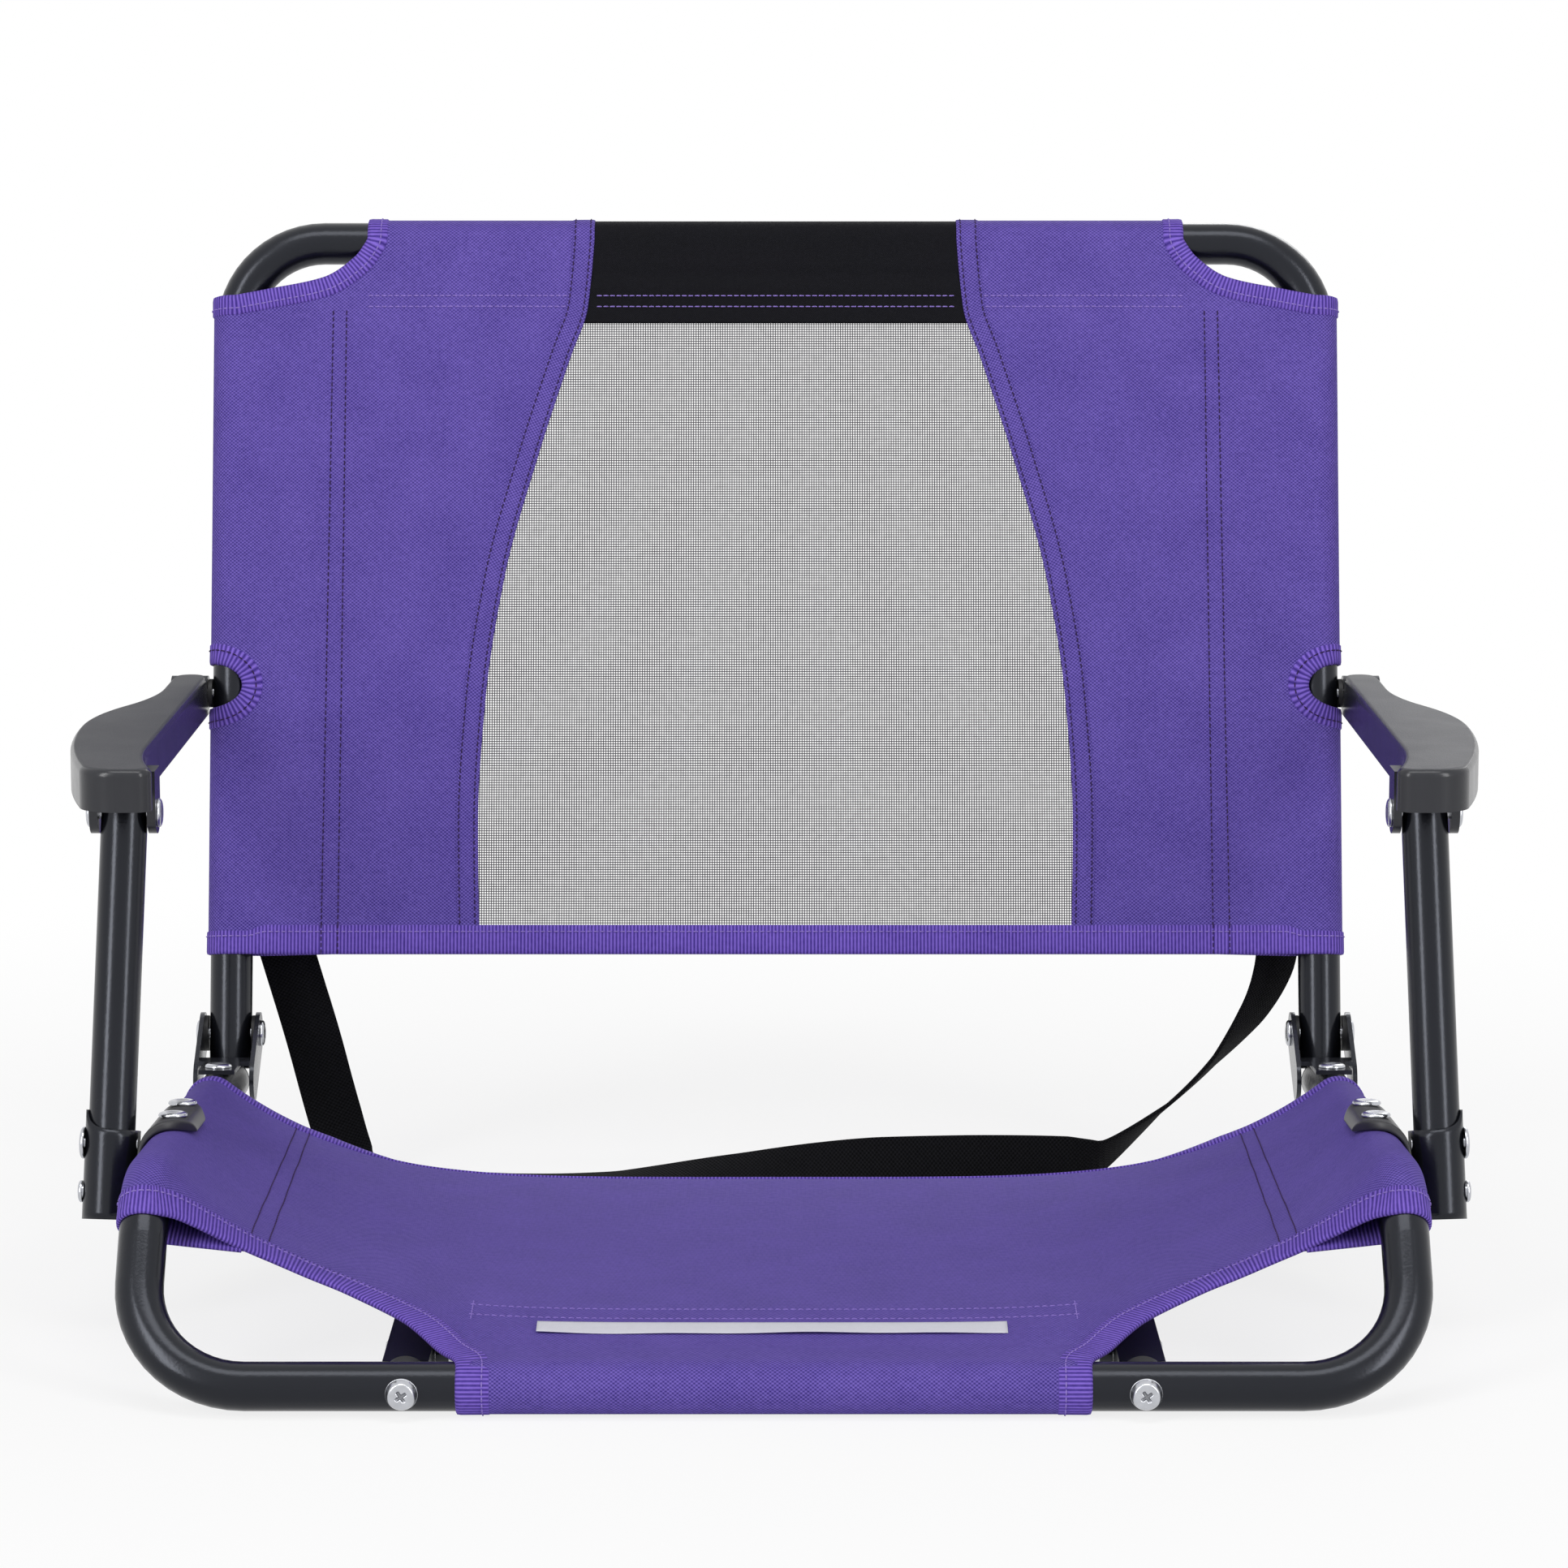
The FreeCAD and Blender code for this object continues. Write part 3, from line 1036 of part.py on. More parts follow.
# Posts: tubes from the armrests down to steel feet that turn on the saddles
POST_LENGTH = size("arm_pivot")
FOOT_IN = TUBE + GAP
FOOT_OUT = FOOT_IN + size("foot_wall")
for name, side in SIDES.items():
    lean_in = Rotation(Y_AXIS, -side * math.degrees(math.asin((POST_HALF - ARM_HALF) / POST_LENGTH)))
    place = Placement(POST_PIVOT + X_AXIS * (side * POST_HALF), BACK_TURN.multiply(lean_in))
    square = place.Rotation.multVec(X_AXIS)
    post_low = Vector(0, 0, -size("post_bottom"))
    post_high = Vector(0, 0, POST_LENGTH + size("post_top"))
    line = Part.Wire([line_edge(post_low, post_high)])
    hollow = tube("post_" + name, line, Vector(0, 0, 1), place)
    pivot_hole = rod(X_AXIS, POST_PIVOT + X_AXIS * (side * POST_HALF - 4 * TUBE),
                     size("pivot_bolt_dia") / 2 + FIT, 8 * TUBE)
    top_hole = rod(X_AXIS, POST_TOP_PIVOT + X_AXIS * (side * ARM_HALF - 2 * TUBE),
                   RIVET_HOLE + FIT, 4 * TUBE)
    rivet_spot = place.multVec(Vector(0, 0, size("foot_rivet_up")))
    rivet_hole = rod(square, rivet_spot - square * (4 * TUBE), RIVET_HOLE, 8 * TUBE)
    keep(drilled("post_tube_" + name, hollow, [pivot_hole, top_hole, rivet_hole]))

    flange = size("foot_flange")
    foot_line = outline_wire((-FOOT_OUT, flange), [
        (-FOOT_OUT, 0), ((0, -FOOT_OUT), (FOOT_OUT, 0)), (FOOT_OUT, flange), (FOOT_IN, flange),
        (FOOT_IN, 0), ((0, -FOOT_IN), (-FOOT_IN, 0)), (-FOOT_IN, flange), (-FOOT_OUT, flange)])
    foot_low = place.multiply(Placement(Vector(0, 0, -size("post_bottom")), Rotation()))
    foot = padded_body("foot_blank_" + name, foot_line, "sizes.foot_height + sizes.post_bottom", foot_low)
    top_cut = Part.makeBox(8 * TUBE, 8 * TUBE, 4 * TUBE, Vector(-4 * TUBE, -4 * TUBE, 0))
    top_cut.rotate(Vector(0, 0, 0), Y_AXIS, -side * 2 * size("foot_slant"))
    top_cut.translate(Vector(0, 0, size("foot_height") - size("foot_slant") * 0.5))
    top_cut.Placement = place.multiply(top_cut.Placement)
    keep(drilled("post_foot_" + name, foot, [pivot_hole, rivet_hole, top_cut]))
    keep(rivet("foot_rivet_" + name, square * -side, rivet_spot + square * (side * FOOT_OUT),
               2 * FOOT_OUT, tail=False))
    bolt_in = POST_HALF - HALF - TUBE / 2 - GAP
    bolt_out = FOOT_OUT + FIT + GAP
    bolt_head = POST_PIVOT + X_AXIS * (side * (POST_HALF + bolt_out))
    keep(rivet("pivot_bolt_" + name, X_AXIS * -side, bolt_head, bolt_out + bolt_in,
               head_dia="sizes.rivet_head * 0.75", dia="sizes.pivot_bolt_dia", tail=False))

# Carry strap: flat webbing from one side panel's rear hem to the other, loose on the floor between
STRAP_STATIONS = [
    ((-224, 388, 128), (1, 0, 0.1)), ((-220, 396, 100), (1, 0, 0.25)), ((-210, 403, 66), (0.9, 0.1, 0.4)),
    ((-198, 404, 36), (0.7, 0.1, 0.6)), ((-180, 398, 16), (0.3, 0.1, 0.95)), ((-140, 386, 13.5), (0, 0, 1)),
    ((-70, 372, 13.5), (0, 0, 1)), ((10, 364, 13.5), (0, 0, 1)), ((90, 361, 13.5), (0, 0, 1)),
    ((145, 366, 14), (0, 0.3, 1)), ((172, 379, 30), (0.2, 0.8, 0.5)), ((196, 391, 62), (0.35, 0.9, 0.1)),
    ((216, 394, 96), (0.8, 0.6, -0.1)), ((226, 388, 128), (1, 0, -0.1)),
]


def strap_section(index):
    """Rectangle of the webbing at one station, square to its way along."""
    point, across = STRAP_STATIONS[index]
    before = STRAP_STATIONS[max(index - 1, 0)][0]
    after = STRAP_STATIONS[min(index + 1, len(STRAP_STATIONS) - 1)][0]
    way = (Vector(*after) - Vector(*before)).normalize()
    wide = Vector(*across)
    wide = (wide - way * wide.dot(way)).normalize()
    thick = way.cross(wide)
    centre = Vector(point[0], depth_y(point[1]), point[2])
    half_wide = wide * (size("strap_width") / 2)
    half_thick = thick * (size("strap_thick") / 2)
    corners = [centre - half_wide - half_thick, centre + half_wide - half_thick,
               centre + half_wide + half_thick, centre - half_wide + half_thick]
    return Part.makePolygon(corners + corners[:1])


strap = Part.makeLoft([strap_section(index) for index in range(len(STRAP_STATIONS))], True, True)
keep(feature("carry_strap", strap))

# Checks, then one file for each node
doc.recompute()
for item in doc.Objects:
    if "Invalid" in item.State or "Error" in item.State:
        raise RuntimeError("failed: " + item.Label + " " + str(item.State))
os.makedirs("parts", exist_ok=True)
for item in nodes:
    shape = item.Shape
    if shape.isNull() or not shape.isValid() or not shape.Solids:
        raise RuntimeError("bad shape: " + item.Label)
    shape.exportStep(os.path.join("parts", item.Label + ".step"))
    box = shape.optimalBoundingBox(False)
    print("%-22s solids %d volume %.0f  X %.1f %.1f  Y %.1f %.1f  Z %.1f %.1f" % (
        item.Label, len(shape.Solids), shape.Volume, box.XMin, box.XMax,
        box.YMin, box.YMax, box.ZMin, box.ZMax))
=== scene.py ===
# %% [markdown]
# A folding stadium seat
# A low seat for a bench: a bent steel tube frame, a cloth sling to sit in, a back of cloth and open
# mesh, and two moulded armrests on folding posts. The steel and plastic pieces come with the frame
# that is loaded here. The lesson adds what is soft (cloth, tape, thread, webbing) and every finish.

# %% Load the frame
import json
import math

import bmesh
import bpy
import numpy as np
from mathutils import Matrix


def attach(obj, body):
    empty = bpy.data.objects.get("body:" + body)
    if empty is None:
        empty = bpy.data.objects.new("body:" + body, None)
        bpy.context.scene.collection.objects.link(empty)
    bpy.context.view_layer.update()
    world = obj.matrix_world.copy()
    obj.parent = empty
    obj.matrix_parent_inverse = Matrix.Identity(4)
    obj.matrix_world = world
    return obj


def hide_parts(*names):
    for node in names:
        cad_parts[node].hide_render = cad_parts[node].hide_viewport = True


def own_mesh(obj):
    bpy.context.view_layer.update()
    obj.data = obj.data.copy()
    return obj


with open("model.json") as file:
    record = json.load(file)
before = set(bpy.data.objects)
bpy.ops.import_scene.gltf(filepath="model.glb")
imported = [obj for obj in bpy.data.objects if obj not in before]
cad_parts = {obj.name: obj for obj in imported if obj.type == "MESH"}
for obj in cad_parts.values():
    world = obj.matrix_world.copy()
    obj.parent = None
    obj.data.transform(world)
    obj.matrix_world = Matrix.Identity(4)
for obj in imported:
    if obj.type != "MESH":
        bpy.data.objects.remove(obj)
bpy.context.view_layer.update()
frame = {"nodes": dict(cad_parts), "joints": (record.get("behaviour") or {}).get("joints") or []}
nodes = frame["nodes"]
joints = {joint["name"]: np.array(joint["pos_m"]) * 1000 for joint in frame["joints"]}

# %% [markdown]
# Sizes and places
# Lengths are written in millimetres, as a maker would, and turned into metres only when a mesh is
# made. "Depth" is measured to the rear from the front rail's axis. The back has a frame of its own:
# it starts at the hinge and its height runs up the leaning uprights, so flat cloth stays flat there.

# %% Sizes and places
MM = 0.001
TURN = 2 * math.pi
CLOTH = 1.0
SLEEVE = 10.675  # radius of the cloth's outer face round a tube
HALF = 247.0  # from the middle to the axis of a rail or an upright
FRONT_Y = -225.0
FRONT_Z = SLEEVE
SEAT_HEIGHT = 76.5
DROP = math.radians(50.5)
SLOPE = math.radians(4.2)
BEND_DEPTH = (SEAT_HEIGHT - FRONT_Z) / math.tan(DROP)
BACK_LENGTH = 362.6  # from the hinge up to the top tube's axis
SIDES = {-1: "left", 1: "right"}

hinge = joints["back_fold"]
post_pivot = joints["right_post_turn"]
back_up = np.array([0.0, *(joints["right_arm_turn"] - hinge)[1:]])
ARM_UP = float(np.linalg.norm(back_up))
back_up = back_up / ARM_UP
back_rear = np.array([0.0, back_up[2], -back_up[1]])
back_axes = np.array([(1, 0, 0), back_rear, back_up])
FRONT = -back_rear


def spread(*parts):
    """Numbers and arrays brought to one shape and stacked as coordinates."""
    return np.stack(np.broadcast_arrays(*parts), -1)


def rail_height(depth):
    """Height of the side rail's axis: a straight line that falls to the rear."""
    return SEAT_HEIGHT - (np.asarray(depth, float) - BEND_DEPTH) * math.tan(SLOPE)


def seat_point(x, depth, z):
    """Points from a place across, a depth behind the front rail and a height."""
    return spread(x, FRONT_Y + depth, z).astype(float)


def back_point(x, behind, up):
    """Points from a place across, a distance behind the uprights' plane and a height up the back."""
    return hinge + spread(x, behind, up) @ back_axes


print("back leans", round(math.degrees(math.atan2(back_up[1], back_up[2])), 2), "degrees")

# %% [markdown]
# Surfaces from arrays
# Every new piece is a sheet of points on a grid: a function of two parameters, worked out for the
# whole grid at once. A patch holds the points, the four-cornered faces and a flat coordinate for each
# corner, in millimetres of cloth, so that a weave keeps its size whatever the sheet does. Pulling corners
# about by hand would do for one seat; a formula can be measured, changed and run again.


# %% Patches
def patch(points, flat=None, ring=False, flip=False, keep=None):
    """Grid of points (rows, columns, 3) as a patch; flat is the cloth's own coordinate on the grid.

    A ring joins its last column to its first, flip turns the faces over, and keep says by their middles
    which faces stay."""
    rows, columns = points.shape[:2]
    if flat is None:
        along, over = [np.linalg.norm(np.diff(points, axis=k), axis=-1).mean(1 - k) for k in (0, 1)]
        flat = np.stack(np.meshgrid(np.append(0, np.cumsum(over)), np.append(0, np.cumsum(along))), -1)
    i, j = np.meshgrid(np.arange(rows - 1), np.arange(columns - (not ring)), indexing="ij")
    corners = [(0, 0), (0, 1), (1, 1), (1, 0)][::-1 if flip else 1]
    faces = np.stack([(i + a) * columns + (j + b) % columns for a, b in corners], -1).reshape(-1, 4)
    shown = np.stack([flat[i + a, (j + b) % columns] for a, b in corners], -2).reshape(-1, 4, 2)
    points = points.reshape(-1, 3)
    if keep is not None:
        wanted = keep(points[faces].mean(1))
        faces, shown = faces[wanted], shown[wanted]
    return points, faces, shown, []


print("a 3 by 3 grid makes", len(patch(np.zeros((3, 3, 3)))[1]), "faces")


# %% Pieces
def piece(name, patches, body, finish, replaces=(), thickness=0.0, merge=0.0, closed=False):
    """A mesh object in metres from patches, with its finish and the body that it moves with.

    A thickness goes inwards from the shown face, points as close as merge are sewn, a closed solid gets
    outward faces, and replaces names the solids that the piece stands for."""
    starts = np.cumsum([0] + [len(item[0]) for item in patches])
    points = np.concatenate([item[0] for item in patches])
    faces = np.concatenate([item[1] + start for item, start in zip(patches, starts)])
    shown = np.concatenate([item[2].reshape(-1, 2) for item in patches])
    caps = [[index + start for index in cap] for item, start in zip(patches, starts) for cap in item[3]]
    mesh = bpy.data.meshes.new(name)
    mesh.from_pydata((points * MM).tolist(), [], faces.tolist() + caps)
    corners = np.zeros((len(mesh.loops), 2))
    corners[:len(shown)] = shown * MM
    mesh.uv_layers.new(name="cloth").data.foreach_set("uv", corners.ravel())
    mesh.polygons.foreach_set("use_smooth", np.ones(len(mesh.polygons), bool))
    if merge or closed:
        sewn = bmesh.new()
        sewn.from_mesh(mesh)
        bmesh.ops.remove_doubles(sewn, verts=sewn.verts, dist=merge * MM)
        if closed:
            bmesh.ops.recalc_face_normals(sewn, faces=sewn.faces)
        sewn.to_mesh(mesh)
        sewn.free()
    mesh.materials.append(finish)
    made = bpy.data.objects.new(name, mesh)
    bpy.context.scene.collection.objects.link(made)
    if thickness:
        solid = made.modifiers.new("thickness", "SOLIDIFY")
        solid.thickness = thickness * MM
        solid.offset = -1
    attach(made, body)
    if replaces:
        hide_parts(*replaces)
    return made


# %% [markdown]
# Lines and sections
# Tape, hems and webbing are long and thin: one section all along, on a line that bends. They could be
# curves with a bevel, but then the section would turn as Blender likes. Here a line is an array of points
# with two directions at each, so the section always faces the cloth.


# %% Lines
def unit(vectors):
    """Vectors brought to length one."""
    return vectors / np.linalg.norm(vectors, axis=-1, keepdims=True)


def run_lengths(path):
    """Distance along a path at each of its points."""
    return np.append(0, np.cumsum(np.linalg.norm(np.diff(path, axis=0), axis=1)))


def sampled(places, knots, table):
    """Rows of a table at places between its knots, by straight lines."""
    return np.stack([np.interp(places, knots, column) for column in table.T], -1)


def evenly(path, step, *others):
    """The path, and what goes with it, at even steps along its length."""
    lengths = run_lengths(path)
    places = np.linspace(0, lengths[-1], max(2, int(round(lengths[-1] / step)) + 1))
    return [sampled(places, lengths, part) for part in (path, *others)]


def smooth_through(knots, values, places):
    """A curve through the knots that doesn't swing past them (Hermite with limited slopes)."""
    knots, values = np.asarray(knots, float), np.asarray(values, float)
    gaps = np.diff(knots)
    slopes = np.diff(values) / gaps
    ends = np.concatenate([[slopes[0]], np.zeros(len(knots) - 2), [slopes[-1]]])
    same = slopes[:-1] * slopes[1:] > 0
    mean = 2 * slopes[:-1] * slopes[1:] / np.where(same, slopes[:-1] + slopes[1:], 1)
    ends[1:-1] = np.where(same, mean, 0)
    k = np.clip(np.searchsorted(knots, places) - 1, 0, len(gaps) - 1)
    t = (places - knots[k]) / gaps[k]
    return ((1 + 2 * t) * (1 - t) ** 2 * values[k] + t * (1 - t) ** 2 * gaps[k] * ends[k]
            + t * t * (3 - 2 * t) * values[k + 1] + t * t * (t - 1) * gaps[k] * ends[k + 1])


quarter = np.linspace(0, TURN / 4, 50)
arc = np.stack([np.cos(quarter), np.sin(quarter)], -1)
print("a quarter of a round of radius 1 is", round(run_lengths(arc)[-1], 4), "long")


# %% Sections along a line
def edge_frames(path, inside, shown):
    """Directions along an edge: into the cloth, and out of its shown face at the path's middle."""
    way = unit(np.gradient(path, axis=0))
    into = inside - path
    into = unit(into - way * (into * way).sum(-1, keepdims=True))
    out = unit(np.cross(way, into))
    return into, out * np.sign(out[len(out) // 2] @ np.asarray(shown, float))


def carried(path, into, out, profile, ends=True):
    """A closed profile (into, out) carried along a path, with flat ends."""
    profile = np.asarray(profile, float)
    points = path[:, None] + into[:, None] * profile[:, :1] + out[:, None] * profile[:, 1:]
    flat = np.stack(np.meshgrid(run_lengths(profile), run_lengths(path)), -1)
    points, faces, shown, _ = patch(points, flat, ring=True)
    first, last = range(len(profile)), range(len(points) - len(profile), len(points))
    return points, faces, shown, [list(first)[::-1], list(last)] if ends else []


ahead, aside, upward = np.eye(3)[:, None]
square = [(0, 0), (1, 0), (1, 1), (0, 1)]
bar = carried(np.arange(3)[:, None] * ahead, aside, upward, square)
print("a square carried over two steps has", len(bar[1]), "sides and", len(bar[3]), "ends")

# %% [markdown]
# Shader sums as plain Python
# A finish is a small tree of nodes. Wrapping a socket in a class lets a weave be written as a sum,
# sin(x) * sin(y), and each operator adds one Math node. Linking every node by name would work as well, but
# hides the sum in a page of links. Other nodes come from one method that takes the node's type, its
# settings and what goes into its sockets.


# %% A socket with operators
class Term:
    """One socket of a node tree; operators on it add Math nodes."""

    def __init__(self, sums, socket):
        self.sums = sums
        self.socket = socket

    def math(self, operation, *others):
        return self.sums.node("Math", dict(enumerate((self, *others))), operation=operation)

    def __add__(self, other):
        return self.math("ADD", other)

    def __sub__(self, other):
        return self.math("SUBTRACT", other)

    def __rsub__(self, other):
        return self.sums.node("Math", {0: other, 1: self}, operation="SUBTRACT")

    def __mul__(self, other):
        return self.math("MULTIPLY", other)

    __radd__ = __add__
    __rmul__ = __mul__

    def sine(self):
        return self.math("SINE")

    def step(self, low, high, bottom=0.0, top=1.0):
        """Smooth step from bottom at low to top at high."""
        sockets = {"Value": self, "From Min": low, "From Max": high, "To Min": bottom, "To Max": top}
        return self.sums.node("MapRange", sockets, interpolation_type="SMOOTHSTEP")


print("reflected forms:", [name for name in vars(Term) if name in ("__radd__", "__rsub__", "__rmul__")])


# %% A tree of nodes
class Sums:
    """The node tree of a material or a world, built up by expressions."""

    def __init__(self, owner):
        owner.use_nodes = True
        self.tree = owner.node_tree

    def node(self, kind, sockets=None, out=0, **settings):
        """Adds a node with its settings and what goes into its sockets, and gives one of its outputs."""
        made = self.tree.nodes.new("ShaderNode" + kind)
        for key, value in settings.items():
            setattr(made, key, value)
        for key, value in (sockets or {}).items():
            self.feed(made.inputs[key], value)
        return Term(self, made.outputs[out])

    def feed(self, socket, value):
        """Links a term to a socket, or writes a constant on it."""
        if isinstance(value, Term):
            self.tree.links.new(value.socket, socket)
        else:
            socket.default_value = value

    def outputs(self, term, *keys):
        """Several outputs of the node that a term comes from."""
        return [Term(self, term.socket.node.outputs[key]) for key in keys]

    def plain_sight(self):
        """One for rays from the camera, mirrors and glass, which see the white studio; else zero."""
        kinds = ("Is Camera Ray", "Is Glossy Ray", "Is Transmission Ray")
        seen, mirrored, through = self.outputs(self.node("LightPath"), *kinds)
        return seen.math("MAXIMUM", mirrored).math("MAXIMUM", through)


print("kinds of shader node:", sum(name.startswith("ShaderNode") for name in dir(bpy.types)))


# %% A finish
class Finish(Sums):
    """A material with one Principled shader; fixed values go on the shader's own sockets."""

    def __init__(self, name, **fixed):
        self.material = bpy.data.materials.new(name)
        super().__init__(self.material)
        self.shader = self.tree.nodes["Principled BSDF"]
        for socket, value in fixed.items():
            self.set(socket.replace("_", " "), value)

    def set(self, socket, value):
        self.feed(self.shader.inputs[socket], value)

    def place(self, source="Object"):
        """The surface's coordinate: metres in the seat's frame, or the cloth's own metres."""
        if source == "Object":
            return self.node("TexCoord", out="Object")
        return self.node("UVMap", uv_map=source)

    def parts(self, vector):
        """The three numbers of a vector."""
        return self.outputs(self.node("SeparateXYZ", {0: vector}), 0, 1, 2)

    def noise(self, place, scale, detail, rough=0.5):
        sockets = {"Vector": place, "Scale": scale, "Detail": detail, "Roughness": rough}
        return self.node("TexNoise", sockets, "Fac")

    def mix(self, share, first, second):
        return self.node("Mix", {0: share, 6: first, 7: second}, 2, data_type="RGBA")

    def coat(self, colour, rough, height, strength, distance):
        """Sets what varies over the surface (colour, roughness and bumps) and gives the material."""
        sockets = {"Strength": strength, "Distance": distance, "Height": height}
        self.set("Base Color", colour)
        self.set("Roughness", rough)
        self.set("Normal", self.node("Bump", sockets))
        return self.material


def shade(colour, share=1.0):
    """A share of a linear colour that is given in screen values of 0 to 255."""
    screen = np.array(colour) / 255
    linear = np.where(screen <= 0.04045, screen / 12.92, ((screen + 0.055) / 1.055) ** 2.4) * share
    return (*linear.tolist(), 1.0)


print("middle grey is", np.round(shade((128, 128, 128)), 3))

# %% [markdown]
# Woven cloth, tape, thread and webbing
# Polyester cloth is a basket of threads a millimetre or two apart; its dye is a little uneven and its
# threads catch light along their crowns, which is painted there as a paler colour: a painted highlight.
# Tape is ribbed across. A picture of cloth could be laid on, but sine waves on the cloth's own coordinate
# stay sharp from near and give the bumps as well.

# %% Woven cloth
WEFT_SHARE = 0.84  # pitch of the weft against the warp's


def woven(name, dark, light, pitch, ribs_only=False, rough=0.7, sheen=0.02, gloss=0.1):
    """Cloth or tape: threads as sine ridges on the cloth's own coordinate, with uneven dye and a painted
    highlight on their crowns.
    """
    finish = Finish(name, Sheen_Weight=sheen, Sheen_Roughness=0.4, Specular_IOR_Level=gloss)
    place = finish.place("cloth")
    across, along, _ = finish.parts(place)
    warp = (across * (TURN / pitch)).sine()
    weft = (along * (TURN / pitch / (1.0 if ribs_only else WEFT_SHARE))).sine()
    threads = weft if ribs_only else warp * weft
    crown = threads * 0.5 + 0.5
    dye = finish.noise(place, scale=38, detail=3)
    slub = finish.noise(place, scale=420, detail=2)
    # The crowns get the paler colour as a painted highlight; the dye and slub noise are the cloth's own
    # uneven tone.
    share = crown * 0.9 + (dye - 0.5) * 0.3 + (slub - 0.5) * 0.35 + 0.05
    colour = finish.mix(share, shade(dark), shade(light))
    return finish.coat(colour, rough + (dye - 0.5) * 0.2, crown + slub * 0.3, 0.6, pitch * 0.35)


cloth_finish = woven("purple_cloth", (46, 33, 112), (127, 107, 199), 0.00182)
tape_finish = woven("purple_tape", (62, 44, 130), (134, 107, 212), 0.0016, ribs_only=True)
thread_light = woven("lilac_thread", (112, 92, 176), (176, 152, 230), 0.0004, ribs_only=True)
thread_dark = woven("dark_thread", (34, 24, 52), (76, 56, 104), 0.0004, ribs_only=True)
satin_finish = woven("white_satin", (204, 204, 214), (232, 232, 240), 0.0005, True, 0.45, gloss=0.3)
knit_finish = woven("black_knit", (12, 12, 14), (30, 30, 35), 0.0009, sheen=0.0, gloss=0.05)
webbing_finish = woven("black_webbing", (5, 5, 6), (30, 30, 33), 0.0022, sheen=0.0, gloss=0.03)
print("cloth:", cloth_finish.name, tape_finish.name, satin_finish.name, knit_finish.name, webbing_finish.name)
print("thread:", thread_light.name, thread_dark.name)

# %% [markdown]
# Open net
# The net is fine dark thread with clear holes, and the white behind it makes it look grey. Modelling each
# thread would take millions of faces, so the holes are cut by transparency on a flat sheet.


# %% Open net
def open_mesh(name, colour, pitch, thread, soft=0.08):
    """Open net: two sets of fine threads, with clear holes between them."""
    finish = Finish(name, Sheen_Weight=0.2)
    place = finish.place("cloth")
    across, along, _ = finish.parts(place)
    uneven = finish.noise(place, scale=300, detail=1)
    bars = [(part * (math.pi / pitch)).sine().math("ABSOLUTE") for part in (across, along)]
    covered = bars[0].math("MINIMUM", bars[1]) + (uneven - 0.5) * 0.12
    finish.set("Alpha", 1 - covered.step(thread - soft, thread + soft))
    colour = finish.mix(uneven, shade(colour, 0.7), shade(colour))
    return finish.coat(colour, 0.6, 1 - covered, 0.4, 0.0003)


net_finish = open_mesh("dark_net", (40, 38, 48), 0.0011, 0.52)
print("net finish:", net_finish.name)

# %% [markdown]
# Powder coat
# The tubes and brackets are steel with a baked charcoal powder: satin, with a faint orange peel and a few
# scuffs. A plain dark shader would look like rubber, so noise varies its roughness and surface.


# %% Powder coat
def coated_steel(name, colour, rough=0.23, gloss=0.38):
    """Powder coat on steel: dark and satin, with a fine orange peel and faint scuffs."""
    finish = Finish(name, Specular_IOR_Level=gloss, Specular_Tint=(0.84, 0.88, 1.0, 1.0))
    place = finish.place()
    peel = finish.noise(place, scale=900, detail=2)
    cloud = finish.noise(place, scale=24, detail=3)
    scuff = finish.noise(place, scale=130, detail=6, rough=0.7).step(0.68, 0.77)
    colour = finish.mix(cloud * 0.4 + scuff * 0.3, shade(colour), shade(colour, 2.2))
    return finish.coat(colour, rough + (cloud - 0.5) * 0.1 + scuff * 0.12, peel, 0.1, 0.0004)


tube_finish = coated_steel("charcoal_coat", (11, 12, 16))
bracket_finish = coated_steel("bracket_coat", (30, 31, 35), 0.2, 0.6)
print("coats:", tube_finish.name, bracket_finish.name)

# %% [markdown]
# Moulded plastic
# Armrests, saddles and plugs come from a mould with smooth sides and a grained top. One finish does both:
# a mask from the surface's direction lets the grain in only where the face looks up, and paints those
# faces paler, as painted light from above. Two materials would need the faces of each piece sorted first.


# %% Moulded plastic
def moulded(name, colour, rough, grain):
    """Moulded plastic: glossy sides, and a grained texture on faces that look up, painted paler there as
    light from above.
    """
    finish = Finish(name, Specular_IOR_Level=0.4)
    place = finish.place()
    upper = finish.parts(finish.node("NewGeometry", out="Normal"))[2].step(0.8, 0.96)
    pebble = finish.node("TexVoronoi", {"Vector": place, "Scale": 1400.0}, "Distance")
    flow = finish.noise(place, scale=45, detail=3)
    # Faces that look up are painted paler: painted light from above. The grain's bumps are real.
    colour = finish.mix(upper * (pebble * 0.6 + 0.4) + flow * 0.2, shade(colour), shade(colour, 1.25))
    height = pebble * upper + flow * 0.2
    return finish.coat(colour, rough + upper * 0.35 + (flow - 0.5) * 0.12, height, grain, 0.0004)


arm_finish = moulded("arm_plastic", (38, 39, 44), 0.25, 0.3)
saddle_finish = moulded("saddle_plastic", (48, 48, 51), 0.4, 0.3)
plug_finish = moulded("black_plastic", (26, 26, 28), 0.5, 0.2)
print("plastics:", arm_finish.name, saddle_finish.name, plug_finish.name)

# %% [markdown]
# Zinc plate
# Rivets and screws are plated steel, bright with a soft spangle. Their hollows are darkened with painted
# shade; how deep a point lies is kept in the head's own coordinate, so the painted shade stays in place
# when a head is moved.


